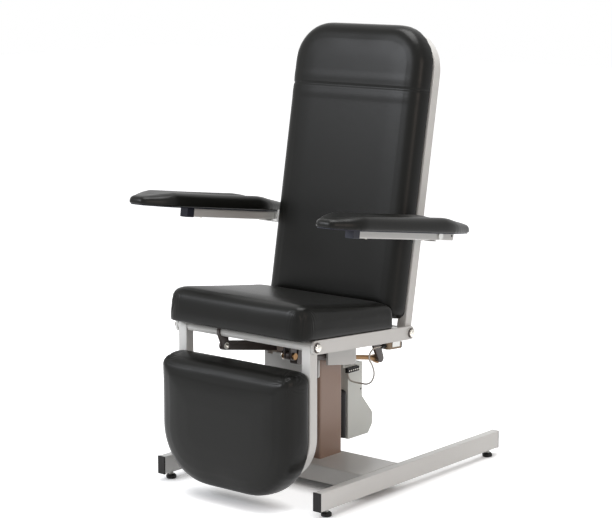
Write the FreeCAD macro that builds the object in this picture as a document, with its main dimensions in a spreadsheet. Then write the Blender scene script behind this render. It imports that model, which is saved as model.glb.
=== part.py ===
"""Powered phlebotomy chair: H base, telescopic column, reclining back and coupled leg rest.

Millimetres and degrees. +Z is up, +X is the sitter's left and the chair faces -Y. The origin
is on the floor, below the middle of the chair's outline.
"""
import FreeCAD
import Part
import math
import os
from FreeCAD import Placement, Rotation, Vector

doc = FreeCAD.newDocument("phlebotomy_chair")
sheet = doc.addObject("Spreadsheet::Sheet", "sheet")
X_AXIS = Vector(1, 0, 0)
Y_AXIS = Vector(0, 1, 0)
Z_AXIS = Vector(0, 0, 1)


class Cells:
    """Read a size from the sheet by its alias."""

    def __getattr__(self, alias):
        return float(sheet.get(alias))


c = Cells()

# Driving sizes in millimetres and degrees, each of which becomes a cell of the sheet
# The base: two runners under a crossbeam, on four levelling feet
base_width = 584
base_middle_y = 35
runner_length = 821
runner_height = 50.8
runner_thick = 25.4
runner_wall = 2
runner_corner = 3
runner_floor_gap = 19.7
cap_flange = 4
cap_plug = 20
cap_wall = 2.5
cap_fit = 0.2
crossbeam_depth = 160
crossbeam_height = 48
crossbeam_wall = 3
crossbeam_corner = 4
crossbeam_shift = -18.5
foot_inset = 41
foot_diameter = 29
foot_pad_height = 12
foot_pad_chamfer = 2
foot_pad_waist = 4
foot_stem_diameter = 10
foot_stem_height = 44
foot_boss_diameter = 18
foot_boss_height = 12
thread_play = 0.05

# The lift: a tube in a tube, with a rod-and-tube actuator inside
column_width = 160
column_depth = 96
column_wall = 3
column_corner = 6
column_y = -71
column_top = 370
glide_wall = 4
inner_width = column_width - 2 * column_wall - 2 * glide_wall
inner_depth = column_depth - 2 * column_wall - 2 * glide_wall
inner_foot = 110
glide_height = 40
glide_lip = 2
glide_play = 0.3
lift_rod_diameter = 20
lift_rod_top = 345
lift_rod_flange = 50
lift_rod_flange_thick = 6
lift_tube_diameter = 36
lift_tube_foot = 120
lift_tube_play = 0.1
lift_tube_end = 36
head_plate_thick = 8
head_hole_play = 0.3

# The seat frame, measured from the leg-rest pivot along the rails
leg_pivot_y = -335.5
leg_pivot_z = 444.8
seat_tilt = 3.79
pivot_span = 410.3
rail_height = 37
rail_thick = 6
rail_outer = 243
rail_nose = 15.4
rail_tail = 16
rail_corner = 12
bolt_diameter = 12
bolt_play = 0.05
bolt_head = 21
bolt_head_height = 6
bolt_washer = 26
bolt_washer_thick = 2
bolt_tail = 4
nut_height = 8
nylon_washer = 28
nylon_thick = 2.3
bar_size = 30
bar_wall = 2
bar_corner = 3
bearer_width = 27
cross_depth = 30
cross_front = 26
cross_rear_gap = 7.4
frame_wall = 2.5
board_thick = 12

# The carriage: side plates, front panel and head plate over the column
carriage_side_gap = 34
carriage_outer = column_width / 2 + carriage_side_gap
carriage_plate = 6
bearer_gap = 0.5
bearer_inner = carriage_outer - carriage_plate - bearer_gap - bearer_width
carriage_front_gap = 2
carriage_tail = 20
carriage_front_low = 343
carriage_rear_low = 323.5
carriage_corner = 14
carriage_rise = 4
panel_foot = 300
panel_top = 353
panel_right = column_width / 2
panel_corner = 8
link_slot = 20
link_slot_depth = 110
link_notch = 7

# The lift drive behind the column
gear_left = -26
gear_width = 80
gear_height = 20
gear_front = 39
gear_rear = 86
gear_neck_depth = 50
gear_corner = 8
flange_left = -30
flange_width = 88
flange_thick = 5
flange_front = 86
flange_rear = 174
flange_top = 305
flange_hole = 7
flange_hole_inset = 11.2
motor_wall = 3
motor_cover_thick = 3
motor_foot = 91
motor_front = 32
motor_neck_rear = 97
motor_shoulder_z = 206
motor_belly_y = 146
motor_belly_z = 142
motor_heel_y = 126
motor_diameter = 58
motor_length = 110
terminal_length = 52
terminal_height = 14
terminal_thick = 9
terminal_pins = 6
terminal_pin = 5

# The reclining drive beside the column and the link to the leg rest
drive_gap = 14
drive_x = column_width / 2 + drive_gap
pin_diameter = 10
pin_play = 0.05
lever_radius = 108.3
lever_phase = 23.9
lever_thick = 8
lever_root = 40
lever_tip = 22
link_lever_radius = 84
link_lever_phase = 8
lug_radius = 43
lug_phase = 16
lug_root = 36
lug_tip = 24
lug_thick = 8
link_thick = 6
link_height = 26
link_gap = 1.2
link_eye = 15.4
link_eye_play = 2.75
pin_head_share = 0.8
anchor_button_share = 0.9
link_shift_along = 0.15
link_shift_across = 2.4
anchor_y = -265
anchor_z = 391
anchor_width = 23
anchor_thick = 6
actuator_eye_thick = 10
actuator_eye = 24
actuator_washer_thick = 2.2
gearbox_length = 62
gearbox_height = 44
gearbox_width = 26
gearbox_corner = 7
gearbox_start = 18
actuator_tube = 22
actuator_reach = 262
actuator_bore_end = 10
rod_diameter = 14
rod_play = 0.05
rod_inside = 116
rod_eye = 26
rod_eye_hole = 15.2
rod_eye_thick = 10
rod_shift_along = 0.28
rod_shift_across = -2.25
hub_diameter = 28
hub_wall = 3

# The leg rest and the back
frame_gap = 0.2
frame_outer = rail_outer - rail_thick - nylon_thick - frame_gap
leg_bottom = 66
leg_corner = 135
leg_pad_overhang = 3.5
leg_pad_half = frame_outer + leg_pad_overhang
leg_pad_top = 385
leg_pad_bottom = 26
leg_pad_thick = 92
leg_pad_corner = 32
leg_pad_round = 165
leg_pad_edge = 48
leg_board_inset = 20
leg_board_thick = 9
leg_tube = 25
leg_tube_wall = 2
back_lean = 10.2
back_top = 832
back_corner = 115
back_board_thick = 9
back_board_inset = 18
back_pad_half = frame_outer
back_pad_foot = 30
back_pad_top = 847
back_pad_thick = 58
back_pad_corner = 118
back_pad_edge = 40.6
back_pad_foot_corner = 30
headrest_seam = 661
seam_depth = 3
seam_width = 5

# The seat cushion
seat_overhang = 4
seat_half = rail_outer + seat_overhang
seat_front = 66.2
seat_rear_gap = 72.5
seat_rear = pivot_span - seat_rear_gap
seat_thick = 80
seat_edge = 31
seat_wedge = 3.8
seat_corner = 45
seat_rear_corner = 14
board_inset = 8
pocket_gap = 0.3

# The arms
arm_pivot_up = 275.6
arm_rise = 8.0
arm_frame_gap = 45
arm_tube_inner = frame_outer + arm_frame_gap
arm_tube_width = 25
arm_tube_height = 25
arm_tube_wall = 2
arm_tube_corner = 4
arm_tube_front = 360.8
arm_tube_rear = 65.5
arm_plug_length = 27
arm_plug_over = 1
arm_plug_insert = 24
arm_plug_fit = 0.2
arm_plug_corner = 3
arm_board_thick = 8
arm_board_inset = 7
arm_pad_offset = 49.5
arm_pad_middle = arm_tube_inner + arm_pad_offset
arm_pad_thick = 36
arm_pad_half = 70
arm_pad_tip_half = 27
arm_pad_tail_half = 30
arm_pad_front = 549
arm_pad_shoulder = 475
arm_pad_hip = 57
arm_pad_rear = 72
arm_pad_corner = 26
arm_pad_shoulder_round = 90
bracket_thick = 10
bracket_height = 64
bracket_depth = 30
bracket_drop = 14
bracket_gap = 0.3
boss_diameter = 24
ledge_thick = 5
ledge_start = 14
ledge_length = 30
ledge_reach = 70

# The hand control and its cable
hand_length = 60
hand_width = 30
hand_height = 18
hand_corner = 6
hand_inset = 3
hand_outer = rail_outer - hand_inset
hand_rear_gap = 31
hand_rear = pivot_span - hand_rear_gap
button_diameter = 8
button_play = 0.08
button_height = 6
button_proud = 2
button_pocket = 6
button_pitch = 13
button_first = 10.5
clip_thick = 2
clip_length = 34
clip_lip = 12
clip_gap = 0.3
boot_diameter = 14
boot_tip = 9
boot_length = 17
cable_diameter = 4.5

for row, (alias, number) in enumerate([(name, size) for name, size in globals().items()
                                       if isinstance(size, (int, float))], start=1):
    sheet.set(f"A{row}", alias)
    sheet.set(f"B{row}", str(number))
    sheet.setAlias(f"B{row}", alias)
doc.recompute()

# Where the pieces above meet, worked out from their sizes
runner_top = c.runner_floor_gap + c.runner_height
head_top = c.column_top + c.glide_lip + c.carriage_rise + c.head_plate_thick + c.carriage_front_gap
seat_place = Placement(Vector(0, c.leg_pivot_y, c.leg_pivot_z), Rotation(X_AXIS, -c.seat_tilt))
leg_pivot = Vector(0, c.leg_pivot_y, c.leg_pivot_z)
back_pivot = seat_place.multVec(Vector(0, c.pivot_span, 0))
back_place = Placement(back_pivot, Rotation(X_AXIS, -c.back_lean))
arm_pivot = back_place.multVec(Vector(0, 0, c.arm_pivot_up))
arm_place = Placement(arm_pivot, Rotation(X_AXIS, -c.arm_rise))
overrun = c.column_wall


def hanging_pin(pivot, radius, phase):
    """A pin that hangs at a radius below a pivot, phase degrees towards the rear."""
    turn = math.radians(phase)
    return pivot + Vector(0, radius * math.sin(turn), -radius * math.cos(turn))


lug_pin = hanging_pin(leg_pivot, c.lug_radius, c.lug_phase)
link_lever_pin = hanging_pin(back_pivot, c.link_lever_radius, c.link_lever_phase)
lever_pin = hanging_pin(back_pivot, c.lever_radius, c.lever_phase)
anchor_pin = Vector(0, c.anchor_y, c.anchor_z)


def along(start, end, x):
    """The place of a bar that runs rearwards from one pin to another, at a given X."""
    run = end - start
    dip = math.degrees(math.atan2(run.z, run.y))
    return Placement(Vector(x, start.y, start.z), Rotation(X_AXIS, dip))


link_place = along(lug_pin, link_lever_pin, -c.drive_x)
link_span = (link_lever_pin - lug_pin).Length
actuator_place = along(anchor_pin, lever_pin, c.drive_x)
actuator_span = (lever_pin - anchor_pin).Length

nodes = []


def keep(obj, label, place=None):
    """Name a finished sub-part, give it its place and list it for export."""
    obj.Label = label
    if place is not None:
        obj.Placement = place.multiply(obj.Placement)
    nodes.append(obj)
    return obj


def bind(obj, **formulas):
    """Bind properties to formulas on the sheet."""
    for prop, formula in formulas.items():
        obj.setExpression(prop, formula)
    return obj


def axis_plane(body, role):
    """One of a body's own origin planes."""
    return [feature for feature in body.Origin.OriginFeatures if feature.Role == role][0]


def new_sketch(body, name, role, offset=0.0):
    """A sketch on one of the body's origin planes, moved along the plane's normal."""
    sketch = body.newObject("Sketcher::SketchObject", name)
    sketch.AttachmentSupport = [(axis_plane(body, role), "")]
    sketch.MapMode = "FlatFace"
    sketch.AttachmentOffset = Placement(Vector(0, 0, offset), Rotation())
    return sketch


def corner_edges(points):
    """Lines and tangent arcs of a closed outline; each point is (x, y, corner radius)."""
    ends = []
    for index, (x, y, radius) in enumerate(points):
        here = Vector(x, y, 0)
        before = Vector(points[index - 1][0], points[index - 1][1], 0)
        after = Vector(points[(index + 1) % len(points)][0], points[(index + 1) % len(points)][1], 0)
        back = (before - here).normalize()
        ahead = (after - here).normalize()
        if radius <= 0:
            ends.append((here, None, here))
            continue
        half = back.getAngle(ahead) / 2
        reach = radius / math.tan(half)
        middle = (back + ahead).normalize()
        centre = here + middle * (radius / math.sin(half))
        ends.append((here + back * reach, centre - middle * radius, here + ahead * reach))
    edges = []
    for index, (start, top, end) in enumerate(ends):
        if top is not None:
            edges.append(Part.Arc(start, top, end))
        following = ends[(index + 1) % len(ends)][0]
        if (following - end).Length > 1e-7:
            edges.append(Part.LineSegment(end, following))
    return edges


def rectangle(width, height, radius=0.0, x=0.0, y=0.0):
    """The corner points of a rectangle centred at x, y."""
    return [
        (x - width / 2, y - height / 2, radius),
        (x + width / 2, y - height / 2, radius),
        (x + width / 2, y + height / 2, radius),
        (x - width / 2, y + height / 2, radius),
    ]


def slot_outline(start, end, start_radius, end_radius):
    """An outline of a lever: round ends of two radii joined by tangents, as sketch geometry."""
    run = end - start
    lean = math.acos((start_radius - end_radius) / run.Length)
    heading = math.atan2(run.y, run.x)

    def rim(centre, radius, angle):
        return centre + Vector(math.cos(angle), math.sin(angle), 0) * radius

    left = heading + lean
    right = heading - lean
    return [
        Part.LineSegment(rim(start, start_radius, left), rim(end, end_radius, left)),
        Part.Arc(rim(end, end_radius, left), rim(end, end_radius, heading), rim(end, end_radius, right)),
        Part.LineSegment(rim(end, end_radius, right), rim(start, start_radius, right)),
        Part.Arc(rim(start, start_radius, right), rim(start, start_radius, heading + math.pi),
                 rim(start, start_radius, left)),
    ]


def circle(x, y, diameter):
    """A circle in a sketch."""
    return Part.Circle(Vector(x, y, 0), Z_AXIS, diameter / 2)


def padded(body, name, role, geometry, length, offset=0.0, both_ways=False, turned=False):
    """Sketch some closed outlines and pad them; length is a formula on the sheet."""
    sketch = new_sketch(body, name + "_sketch", role, offset)
    for edge in geometry:
        sketch.addGeometry(edge)
    pad = body.newObject("PartDesign::Pad", name)
    pad.Profile = sketch
    pad.SideType = "Symmetric" if both_ways else "One side"
    pad.Reversed = turned
    bind(pad, Length=length)
    return pad


def pocketed(body, name, role, geometry, offset=0.0, length=None, turned=False):
    """Sketch some closed outlines and cut them: right through both ways, or to a formula's depth."""
    sketch = new_sketch(body, name + "_sketch", role, offset)
    for edge in geometry:
        sketch.addGeometry(edge)
    pocket = body.newObject("PartDesign::Pocket", name)
    pocket.Profile = sketch
    if length is None:
        pocket.Type = "ThroughAll"
        pocket.SideType = "Symmetric"
    else:
        pocket.Reversed = turned
        bind(pocket, Length=length)
    return pocket


def new_body(name):
    return doc.addObject("PartDesign::Body", name)


def tube_body(name, role, width, height, wall, corner, length):
    """A straight rectangular tube padded both ways from one of its body's planes."""
    body = new_body(name)
    inner = max(corner - wall, corner / 4)
    section = corner_edges(rectangle(width, height, corner))
    section += corner_edges(rectangle(width - 2 * wall, height - 2 * wall, inner))
    padded(body, name + "_wall", role, section, length, both_ways=True)
    return body


def revolved(name, outline, axis="V_Axis"):
    """A body turned from a half section; each outline point is (radius, height, corner radius)."""
    body = new_body(name)
    sketch = new_sketch(body, name + "_section", "XZ_Plane")
    for edge in corner_edges(outline):
        sketch.addGeometry(edge)
    turn = body.newObject("PartDesign::Revolution", name + "_turn")
    turn.Profile = sketch
    turn.ReferenceAxis = (sketch, [axis])
    turn.Angle = 360
    return body


def feature(name, shape):
    """A sub-part whose shape is worked out in code from the sheet's sizes."""
    obj = doc.addObject("Part::Feature", name)
    obj.Shape = shape
    return obj


# Runners, end caps and crossbeam of square-edged steel tube
runner_x = (c.base_width - c.runner_thick) / 2
foot_y = c.runner_length / 2 + c.cap_flange - c.foot_inset
runner_middle_z = c.runner_floor_gap + c.runner_height / 2


def make_runner(label, x):
    """One runner, with a threaded boss over each foot."""
    body = tube_body(label, "XZ_Plane", c.runner_thick, c.runner_height, c.runner_wall,
                     c.runner_corner, "sheet.runner_length")
    floor = -c.runner_height / 2
    bosses = [circle(0, y, c.foot_boss_diameter) for y in (-foot_y, foot_y)]
    padded(body, label + "_bosses", "XY_Plane", bosses,
           "sheet.runner_wall + sheet.foot_boss_height", offset=floor)
    bore = c.foot_stem_diameter + 2 * c.thread_play
    pocketed(body, label + "_threads", "XY_Plane", [circle(0, y, bore) for y in (-foot_y, foot_y)],
             offset=floor, length="sheet.runner_wall + sheet.foot_boss_height", turned=True)
    keep(body, label, Placement(Vector(x, c.base_middle_y, runner_middle_z), Rotation()))


make_runner("runner_left", runner_x)
make_runner("runner_right", -runner_x)


def make_end_caps():
    """Four black caps, each a flange over the tube's end and a hollow plug inside it."""
    plug = Vector(c.runner_thick - 2 * (c.runner_wall + c.cap_fit), c.cap_plug,
                  c.runner_height - 2 * (c.runner_wall + c.cap_fit))
    solids = []
    for side in (-1, 1):
        for end in (-1, 1):
            flange = Part.makeBox(c.runner_thick, c.cap_flange, c.runner_height,
                                  Vector(-c.runner_thick / 2, 0, -c.runner_height / 2))
            rim = [edge for edge in flange.Edges if edge.BoundBox.YMin > c.cap_flange / 2]
            flange = flange.makeFillet(c.cap_flange / 3, rim)
            stub = Part.makeBox(plug.x, plug.y, plug.z, Vector(-plug.x / 2, -plug.y, -plug.z / 2))
            hollow = Part.makeBox(plug.x - 2 * c.cap_wall, plug.y, plug.z - 2 * c.cap_wall,
                                  Vector(c.cap_wall - plug.x / 2, -plug.y, c.cap_wall - plug.z / 2))
            cap = flange.fuse(stub.cut(hollow)).removeSplitter()
            if end < 0:
                cap.rotate(Vector(), Z_AXIS, 180)
            cap.translate(Vector(side * runner_x, c.base_middle_y + end * c.runner_length / 2,
                                 runner_middle_z))
            solids.append(cap.Solids[0])
    keep(feature("runner_end_caps", Part.makeCompound(solids)), "runner_end_caps")


make_end_caps()

crossbeam = tube_body("crossbeam", "YZ_Plane", c.crossbeam_depth, c.crossbeam_height,
                      c.crossbeam_wall, c.crossbeam_corner,
                      "sheet.base_width - 2 * sheet.runner_thick")
keep(crossbeam, "crossbeam",
     Placement(Vector(0, c.column_y + c.crossbeam_shift, runner_top - c.crossbeam_height / 2), Rotation()))


def make_foot(label, x, y):
    """A levelling foot: a round pad on a threaded stem."""
    pad = c.foot_diameter / 2
    stem = c.foot_stem_diameter / 2
    outline = [
        (0, 0, 0),
        (pad - c.foot_pad_chamfer, 0, 0),
        (pad, c.foot_pad_chamfer, 0),
        (pad, c.foot_pad_height - c.foot_pad_waist, 0),
        (pad - c.foot_pad_waist, c.foot_pad_height, 0),
        (stem, c.foot_pad_height, 0),
        (stem, c.foot_stem_height, 0),
        (0, c.foot_stem_height, 0),
    ]
    keep(revolved(label, outline), label, Placement(Vector(x, y, 0), Rotation()))


for side_name, side_x in (("left", runner_x), ("right", -runner_x)):
    for end_name, end_y in (("front", c.base_middle_y - foot_y), ("rear", c.base_middle_y + foot_y)):
        make_foot(f"foot_{end_name}_{side_name}", side_x, end_y)

# Column, glide collar and inner column
column_place = Placement(Vector(0, c.column_y, 0), Rotation())


def upright_tube(label, width, depth, foot, length):
    """A column tube that stands on a given height."""
    body = new_body(label)
    wall = c.column_wall
    inner = c.column_corner - wall
    section = corner_edges(rectangle(width, depth, c.column_corner))
    section += corner_edges(rectangle(width - 2 * wall, depth - 2 * wall, inner))
    padded(body, label + "_wall", "XY_Plane", section, length, offset=foot)
    return body


keep(upright_tube("column_outer", c.column_width, c.column_depth, runner_top,
                  "sheet.column_top - sheet.runner_floor_gap - sheet.runner_height"),
     "column_outer", column_place)
keep(upright_tube("column_inner", c.inner_width, c.inner_depth, c.inner_foot,
                  f"{head_top - c.head_plate_thick} - sheet.inner_foot"),
     "column_inner", column_place)


def make_glides():
    """The nylon collar in the mouth of the outer column, with a lip on its rim."""
    body = new_body("column_glides")
    wall = c.column_wall + c.thread_play
    bore = rectangle(c.inner_width + 2 * c.glide_play, c.inner_depth + 2 * c.glide_play, c.column_corner)
    sleeve = rectangle(c.column_width - 2 * wall, c.column_depth - 2 * wall, c.column_corner - c.column_wall)
    lip = rectangle(c.column_width, c.column_depth, c.column_corner)
    padded(body, "glide_sleeve", "XY_Plane", corner_edges(sleeve) + corner_edges(bore),
           "sheet.glide_height", offset=c.column_top - c.glide_height)
    padded(body, "glide_lip", "XY_Plane", corner_edges(lip) + corner_edges(bore),
           "sheet.glide_lip", offset=c.column_top)
    keep(body, "column_glides", column_place)


make_glides()


def make_lift_actuator():
    """The fixed rod on the crossbeam and the tube that rides up on it."""
    rod = c.lift_rod_diameter / 2
    flange = c.lift_rod_flange / 2
    foot = runner_top
    keep(revolved("lift_rod", [
        (0, foot, 0),
        (flange, foot, 0),
        (flange, foot + c.lift_rod_flange_thick, 0),
        (rod, foot + c.lift_rod_flange_thick, 0),
        (rod, c.lift_rod_top, 0),
        (0, c.lift_rod_top, 0),
    ]), "lift_rod", column_place)
    tube = c.lift_tube_diameter / 2
    bore = rod + c.lift_tube_play
    roof = head_top - c.lift_tube_end
    keep(revolved("lift_actuator_tube", [
        (bore, c.lift_tube_foot, 0),
        (tube, c.lift_tube_foot, 0),
        (tube, head_top, 0),
        (0, head_top, 0),
        (0, roof, 0),
        (bore, roof, 0),
    ]), "lift_actuator_tube", column_place)


make_lift_actuator()

# Carriage plates, welded into one piece round the column's head
panel_y = c.column_y - c.column_depth / 2 - c.carriage_front_gap
carriage_rear = c.column_y + c.column_depth / 2 + c.carriage_tail
bearer_low = c.rail_height / 2 - c.bar_size


def on_seat(y, up):
    """Height at a given Y of a line that lies a given height above the pivots, along the seat."""
    slope = math.radians(c.seat_tilt)
    return c.leg_pivot_z - (y - c.leg_pivot_y) * math.tan(slope) + up / math.cos(slope)


def make_carriage():
    body = new_body("carriage")
    front = panel_y - c.carriage_plate
    middle = (front + carriage_rear) / 2
    depth = carriage_rear - front
    head = rectangle(2 * c.carriage_outer, depth, 0, 0, middle)
    hole = circle(0, c.column_y, c.lift_tube_diameter + 2 * c.head_hole_play)
    padded(body, "head_plate", "XY_Plane", corner_edges(head) + [hole],
           "sheet.head_plate_thick", offset=head_top - c.head_plate_thick)
    cheek = [
        (front, c.carriage_front_low, 0),
        (carriage_rear, c.carriage_rear_low, c.carriage_corner),
        (carriage_rear, on_seat(carriage_rear, bearer_low + c.bar_size / 2), c.carriage_corner),
        (front, on_seat(front, bearer_low + c.bar_size / 2), c.carriage_corner),
    ]
    for side, x in (("left", c.carriage_outer - c.carriage_plate), ("right", -c.carriage_outer)):
        padded(body, "cheek_" + side, "YZ_Plane", corner_edges(cheek), "sheet.carriage_plate", offset=x)
    panel = [
        (-c.carriage_outer, c.panel_foot, c.panel_corner),
        (c.panel_right, c.panel_foot, c.panel_corner),
        (c.panel_right, c.panel_top, 0),
        (c.link_slot / 2 - c.drive_x, c.panel_top, 0),
        (c.link_slot / 2 - c.drive_x, c.panel_top - c.link_notch, 0),
        (-c.link_slot / 2 - c.drive_x, c.panel_top - c.link_notch, 0),
        (-c.link_slot / 2 - c.drive_x, c.panel_top, 0),
        (-c.carriage_outer, c.panel_top, 0),
    ]
    padded(body, "front_panel", "XZ_Plane", corner_edges(panel), "sheet.carriage_plate",
           offset=-panel_y)
    slot = rectangle(c.link_slot, c.link_slot_depth, 0, -c.drive_x, front + c.link_slot_depth / 2)
    pocketed(body, "link_slot", "XY_Plane", corner_edges(slot), offset=head_top - c.head_plate_thick,
             length="sheet.head_plate_thick", turned=True)
    keep(body, "carriage")


make_carriage()


# Seat subframe: two bearers between two cross tubes, one weldment
def make_subframe():
    body = new_body("seat_subframe")
    up = c.rail_height / 2 - c.bar_size / 2
    span = 2 * (c.rail_outer - c.rail_thick)
    front = c.cross_front + c.cross_depth / 2 + c.bar_size / 2
    rear = c.pivot_span - c.cross_rear_gap - c.bar_size / 2 - c.cross_depth
    wall = c.frame_wall
    for name, y in (("front", front - c.bar_size / 2), ("rear", rear)):
        section = corner_edges(rectangle(c.cross_depth, c.bar_size, c.bar_corner, y, up))
        section += corner_edges(rectangle(c.cross_depth - 2 * wall, c.bar_size - 2 * wall, 0, y, up))
        padded(body, "cross_" + name, "YZ_Plane", section, str(span), both_ways=True)
    length = rear - front + c.bar_size / 2 - c.cross_depth
    middle = c.bearer_inner + c.bearer_width / 2
    section = []
    for x in (-middle, middle):
        section += corner_edges(rectangle(c.bearer_width, c.bar_size, 0, x, up))
        section += corner_edges(rectangle(c.bearer_width - 2 * wall, c.bar_size - 2 * wall, 0, x, up))
    start = front - c.bar_size / 2 + c.cross_depth / 2
    padded(body, "bearers", "XZ_Plane", section, str(length), offset=-start, turned=True)
    keep(body, "seat_subframe", seat_place)


make_subframe()


def make_rail(label, x):
    """A flat bar with round ends and a bolt hole at each pivot."""
    body = new_body(label)
    half = c.rail_height / 2
    tail = c.pivot_span + c.rail_tail
    outline = [
        (-c.rail_nose, -half, c.rail_corner),
        (tail, -half, c.rail_corner),
        (tail, half, c.rail_corner),
        (-c.rail_nose, half, c.rail_corner),
    ]
    hole = c.bolt_diameter + 2 * c.bolt_play
    holes = [circle(0, 0, hole), circle(c.pivot_span, 0, hole)]
    padded(body, label + "_bar", "YZ_Plane", corner_edges(outline) + holes, "sheet.rail_thick", offset=x)
    keep(body, label, seat_place)


make_rail("side_rail_left", c.rail_outer - c.rail_thick)
make_rail("side_rail_right", -c.rail_outer)


# Pivot bolts and washers, one set at each end of each rail
def lying(shape, side):
    """Turn a shape made up +Z so that it points outwards along X."""
    shape.rotate(Vector(), Y_AXIS, 90 * side)
    return shape


def make_pivot_bolts():
    shank = c.bolt_diameter / 2
    inside = c.frame_outer - c.bar_size - c.bolt_tail - c.nut_height
    face = c.rail_outer + c.bolt_washer_thick
    bolts = []
    washers = []
    nylons = []
    for side in (-1, 1):
        for y in (0, c.pivot_span):
            body = Part.makeCylinder(shank, face - inside, Vector(0, 0, inside))
            head = Part.makeCylinder(c.bolt_head / 2, c.bolt_head_height, Vector(0, 0, face))
            crown = [edge for edge in head.Edges if edge.BoundBox.ZMin > face + c.bolt_head_height / 2
                     and len(edge.Vertexes) == 1]
            head = head.makeFillet(c.bolt_head_height / 2, crown)
            nut = Part.makeCylinder(c.bolt_head / 2, c.nut_height, Vector(0, 0, inside))
            bolt = body.fuse(head).fuse(nut).removeSplitter()
            bolt = lying(bolt, side)
            bolt.translate(Vector(0, y, 0))
            bolts.append(bolt.Solids[0])
            ring = Part.makeCylinder(c.bolt_washer / 2, c.bolt_washer_thick, Vector(0, 0, c.rail_outer))
            ring = ring.cut(Part.makeCylinder(shank + c.bolt_play, c.bolt_washer_thick,
                                              Vector(0, 0, c.rail_outer)))
            ring = lying(ring, side)
            ring.translate(Vector(0, y, 0))
            washers.append(ring.Solids[0])
            inner_face = c.rail_outer - c.rail_thick - c.nylon_thick
            disc = Part.makeCylinder(c.nylon_washer / 2, c.nylon_thick, Vector(0, 0, inner_face))
            disc = disc.cut(Part.makeCylinder(shank + c.bolt_play, c.nylon_thick,
                                              Vector(0, 0, inner_face)))
            disc = lying(disc, side)
            disc.translate(Vector(0, y, 0))
            nylons.append(disc.Solids[0])
    keep(feature("pivot_bolts", Part.makeCompound(bolts)), "pivot_bolts", seat_place)
    keep(feature("pivot_washers", Part.makeCompound(washers + nylons)), "pivot_washers", seat_place)


make_pivot_bolts()


# Cushions: a closed crowned form with drawn-in sides over a plywood board
def outline_wire(points, level, radius_floor):
    """A closed wire of lines and arcs at one level of a cushion."""
    rounded = [(x, y, max(radius, radius_floor)) for x, y, radius in points]
    wire = Part.Wire([edge.toShape() for edge in corner_edges(rounded)])
    wire.translate(Vector(0, 0, level))
    return wire


def inset_outline(points, inset):
    """Move every side of a convex outline inwards and tighten its corners to match."""
    moved = []
    count = len(points)
    for index, (x, y, radius) in enumerate(points):
        here = Vector(x, y, 0)
        back = (Vector(points[index - 1][0], points[index - 1][1], 0) - here).normalize()
        ahead = Vector(points[(index + 1) % count][0], points[(index + 1) % count][1], 0) - here
        ahead = ahead.normalize()
        half = back.getAngle(ahead) / 2
        middle = (back + ahead).normalize()
        spot = here + middle * (inset / math.sin(half))
        moved.append((spot.x, spot.y, radius - inset))
    return moved


# Shares of a cushion's thickness, and of its edge rounding, from its board to its crown
cushion_rise_shares = (0.0, 0.10, 0.38, 0.62, 0.80, 0.91, 0.97, 1.0)
cushion_inset_shares = (0.16, 0.04, 0.0, 0.07, 0.26, 0.55, 0.95, 1.70)
crown_share = 0.05
crown_inset_share = 2.2
crown_side_share = 0.33


def cushion_form(points, thick, edge, corner_floor, crown_limit=None, wedge=0.0):
    """A ruled stack of rounded outlines that may tip rearwards; the crown narrows to a flat."""
    wires = []
    middle = sum(y for x, y, radius in points) / len(points)
    for rise, inset in zip(cushion_rise_shares, cushion_inset_shares):
        wires.append(outline_wire(inset_outline(points, inset * edge), rise * thick, corner_floor))
        wires[-1].rotate(Vector(0, middle, rise * thick), X_AXIS, -wedge * rise)
    width = max(x for x, y, radius in points) - min(x for x, y, radius in points)
    far = min(crown_inset_share * edge, crown_side_share * width)
    if crown_limit is not None:
        far = min(far, crown_limit)
    wires.append(outline_wire(inset_outline(points, far), (1 + crown_share) * thick, corner_floor))
    wires[-1].rotate(Vector(0, middle, (1 + crown_share) * thick), X_AXIS, -wedge)
    return Part.makeLoft(wires, True, True)


def board_shape(points, inset, thick, corner_floor):
    """A flat board of the same outline, drawn in."""
    wire = outline_wire(inset_outline(points, inset), 0, corner_floor)
    return Part.Face(wire).extrude(Vector(0, 0, thick))


def make_padding(board_label, pad_label, points, thick, edge, board_thick, board_inset, place,
                 seam=None, wedge=0.0):
    """A board and the cushion that wraps over its edges; the two stay a hair apart."""
    floor = c.bar_corner
    board = board_shape(points, board_inset, board_thick, floor)
    room = board_shape(points, board_inset - c.pocket_gap, board_thick + c.pocket_gap, floor)
    room.translate(Vector(0, 0, -overrun))
    cap = board_shape(points, board_inset - c.pocket_gap, overrun + c.pocket_gap, floor)
    cap.translate(Vector(0, 0, board_thick - overrun))
    form = cushion_form(points, thick, edge, floor, wedge=wedge)
    form = form.cut(room.fuse(cap))
    if seam is not None:
        form = form.cut(seam)
    keep(feature(board_label, board), board_label, place)
    keep(feature(pad_label, form.Solids[0]), pad_label, place)


# The seat lies on the rails and cross tubes
seat_face = c.rail_height / 2 + c.clip_gap
seat_outline = [
    (-c.seat_half, -c.seat_front, c.seat_corner),
    (c.seat_half, -c.seat_front, c.seat_corner),
    (c.seat_half, c.seat_rear, c.seat_rear_corner),
    (-c.seat_half, c.seat_rear, c.seat_rear_corner),
]
make_padding("seat_board", "seat_cushion", seat_outline, c.seat_thick, c.seat_edge,
             c.board_thick, c.board_inset, seat_place.multiply(
                 Placement(Vector(0, 0, seat_face), Rotation())), wedge=c.seat_wedge)


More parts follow.
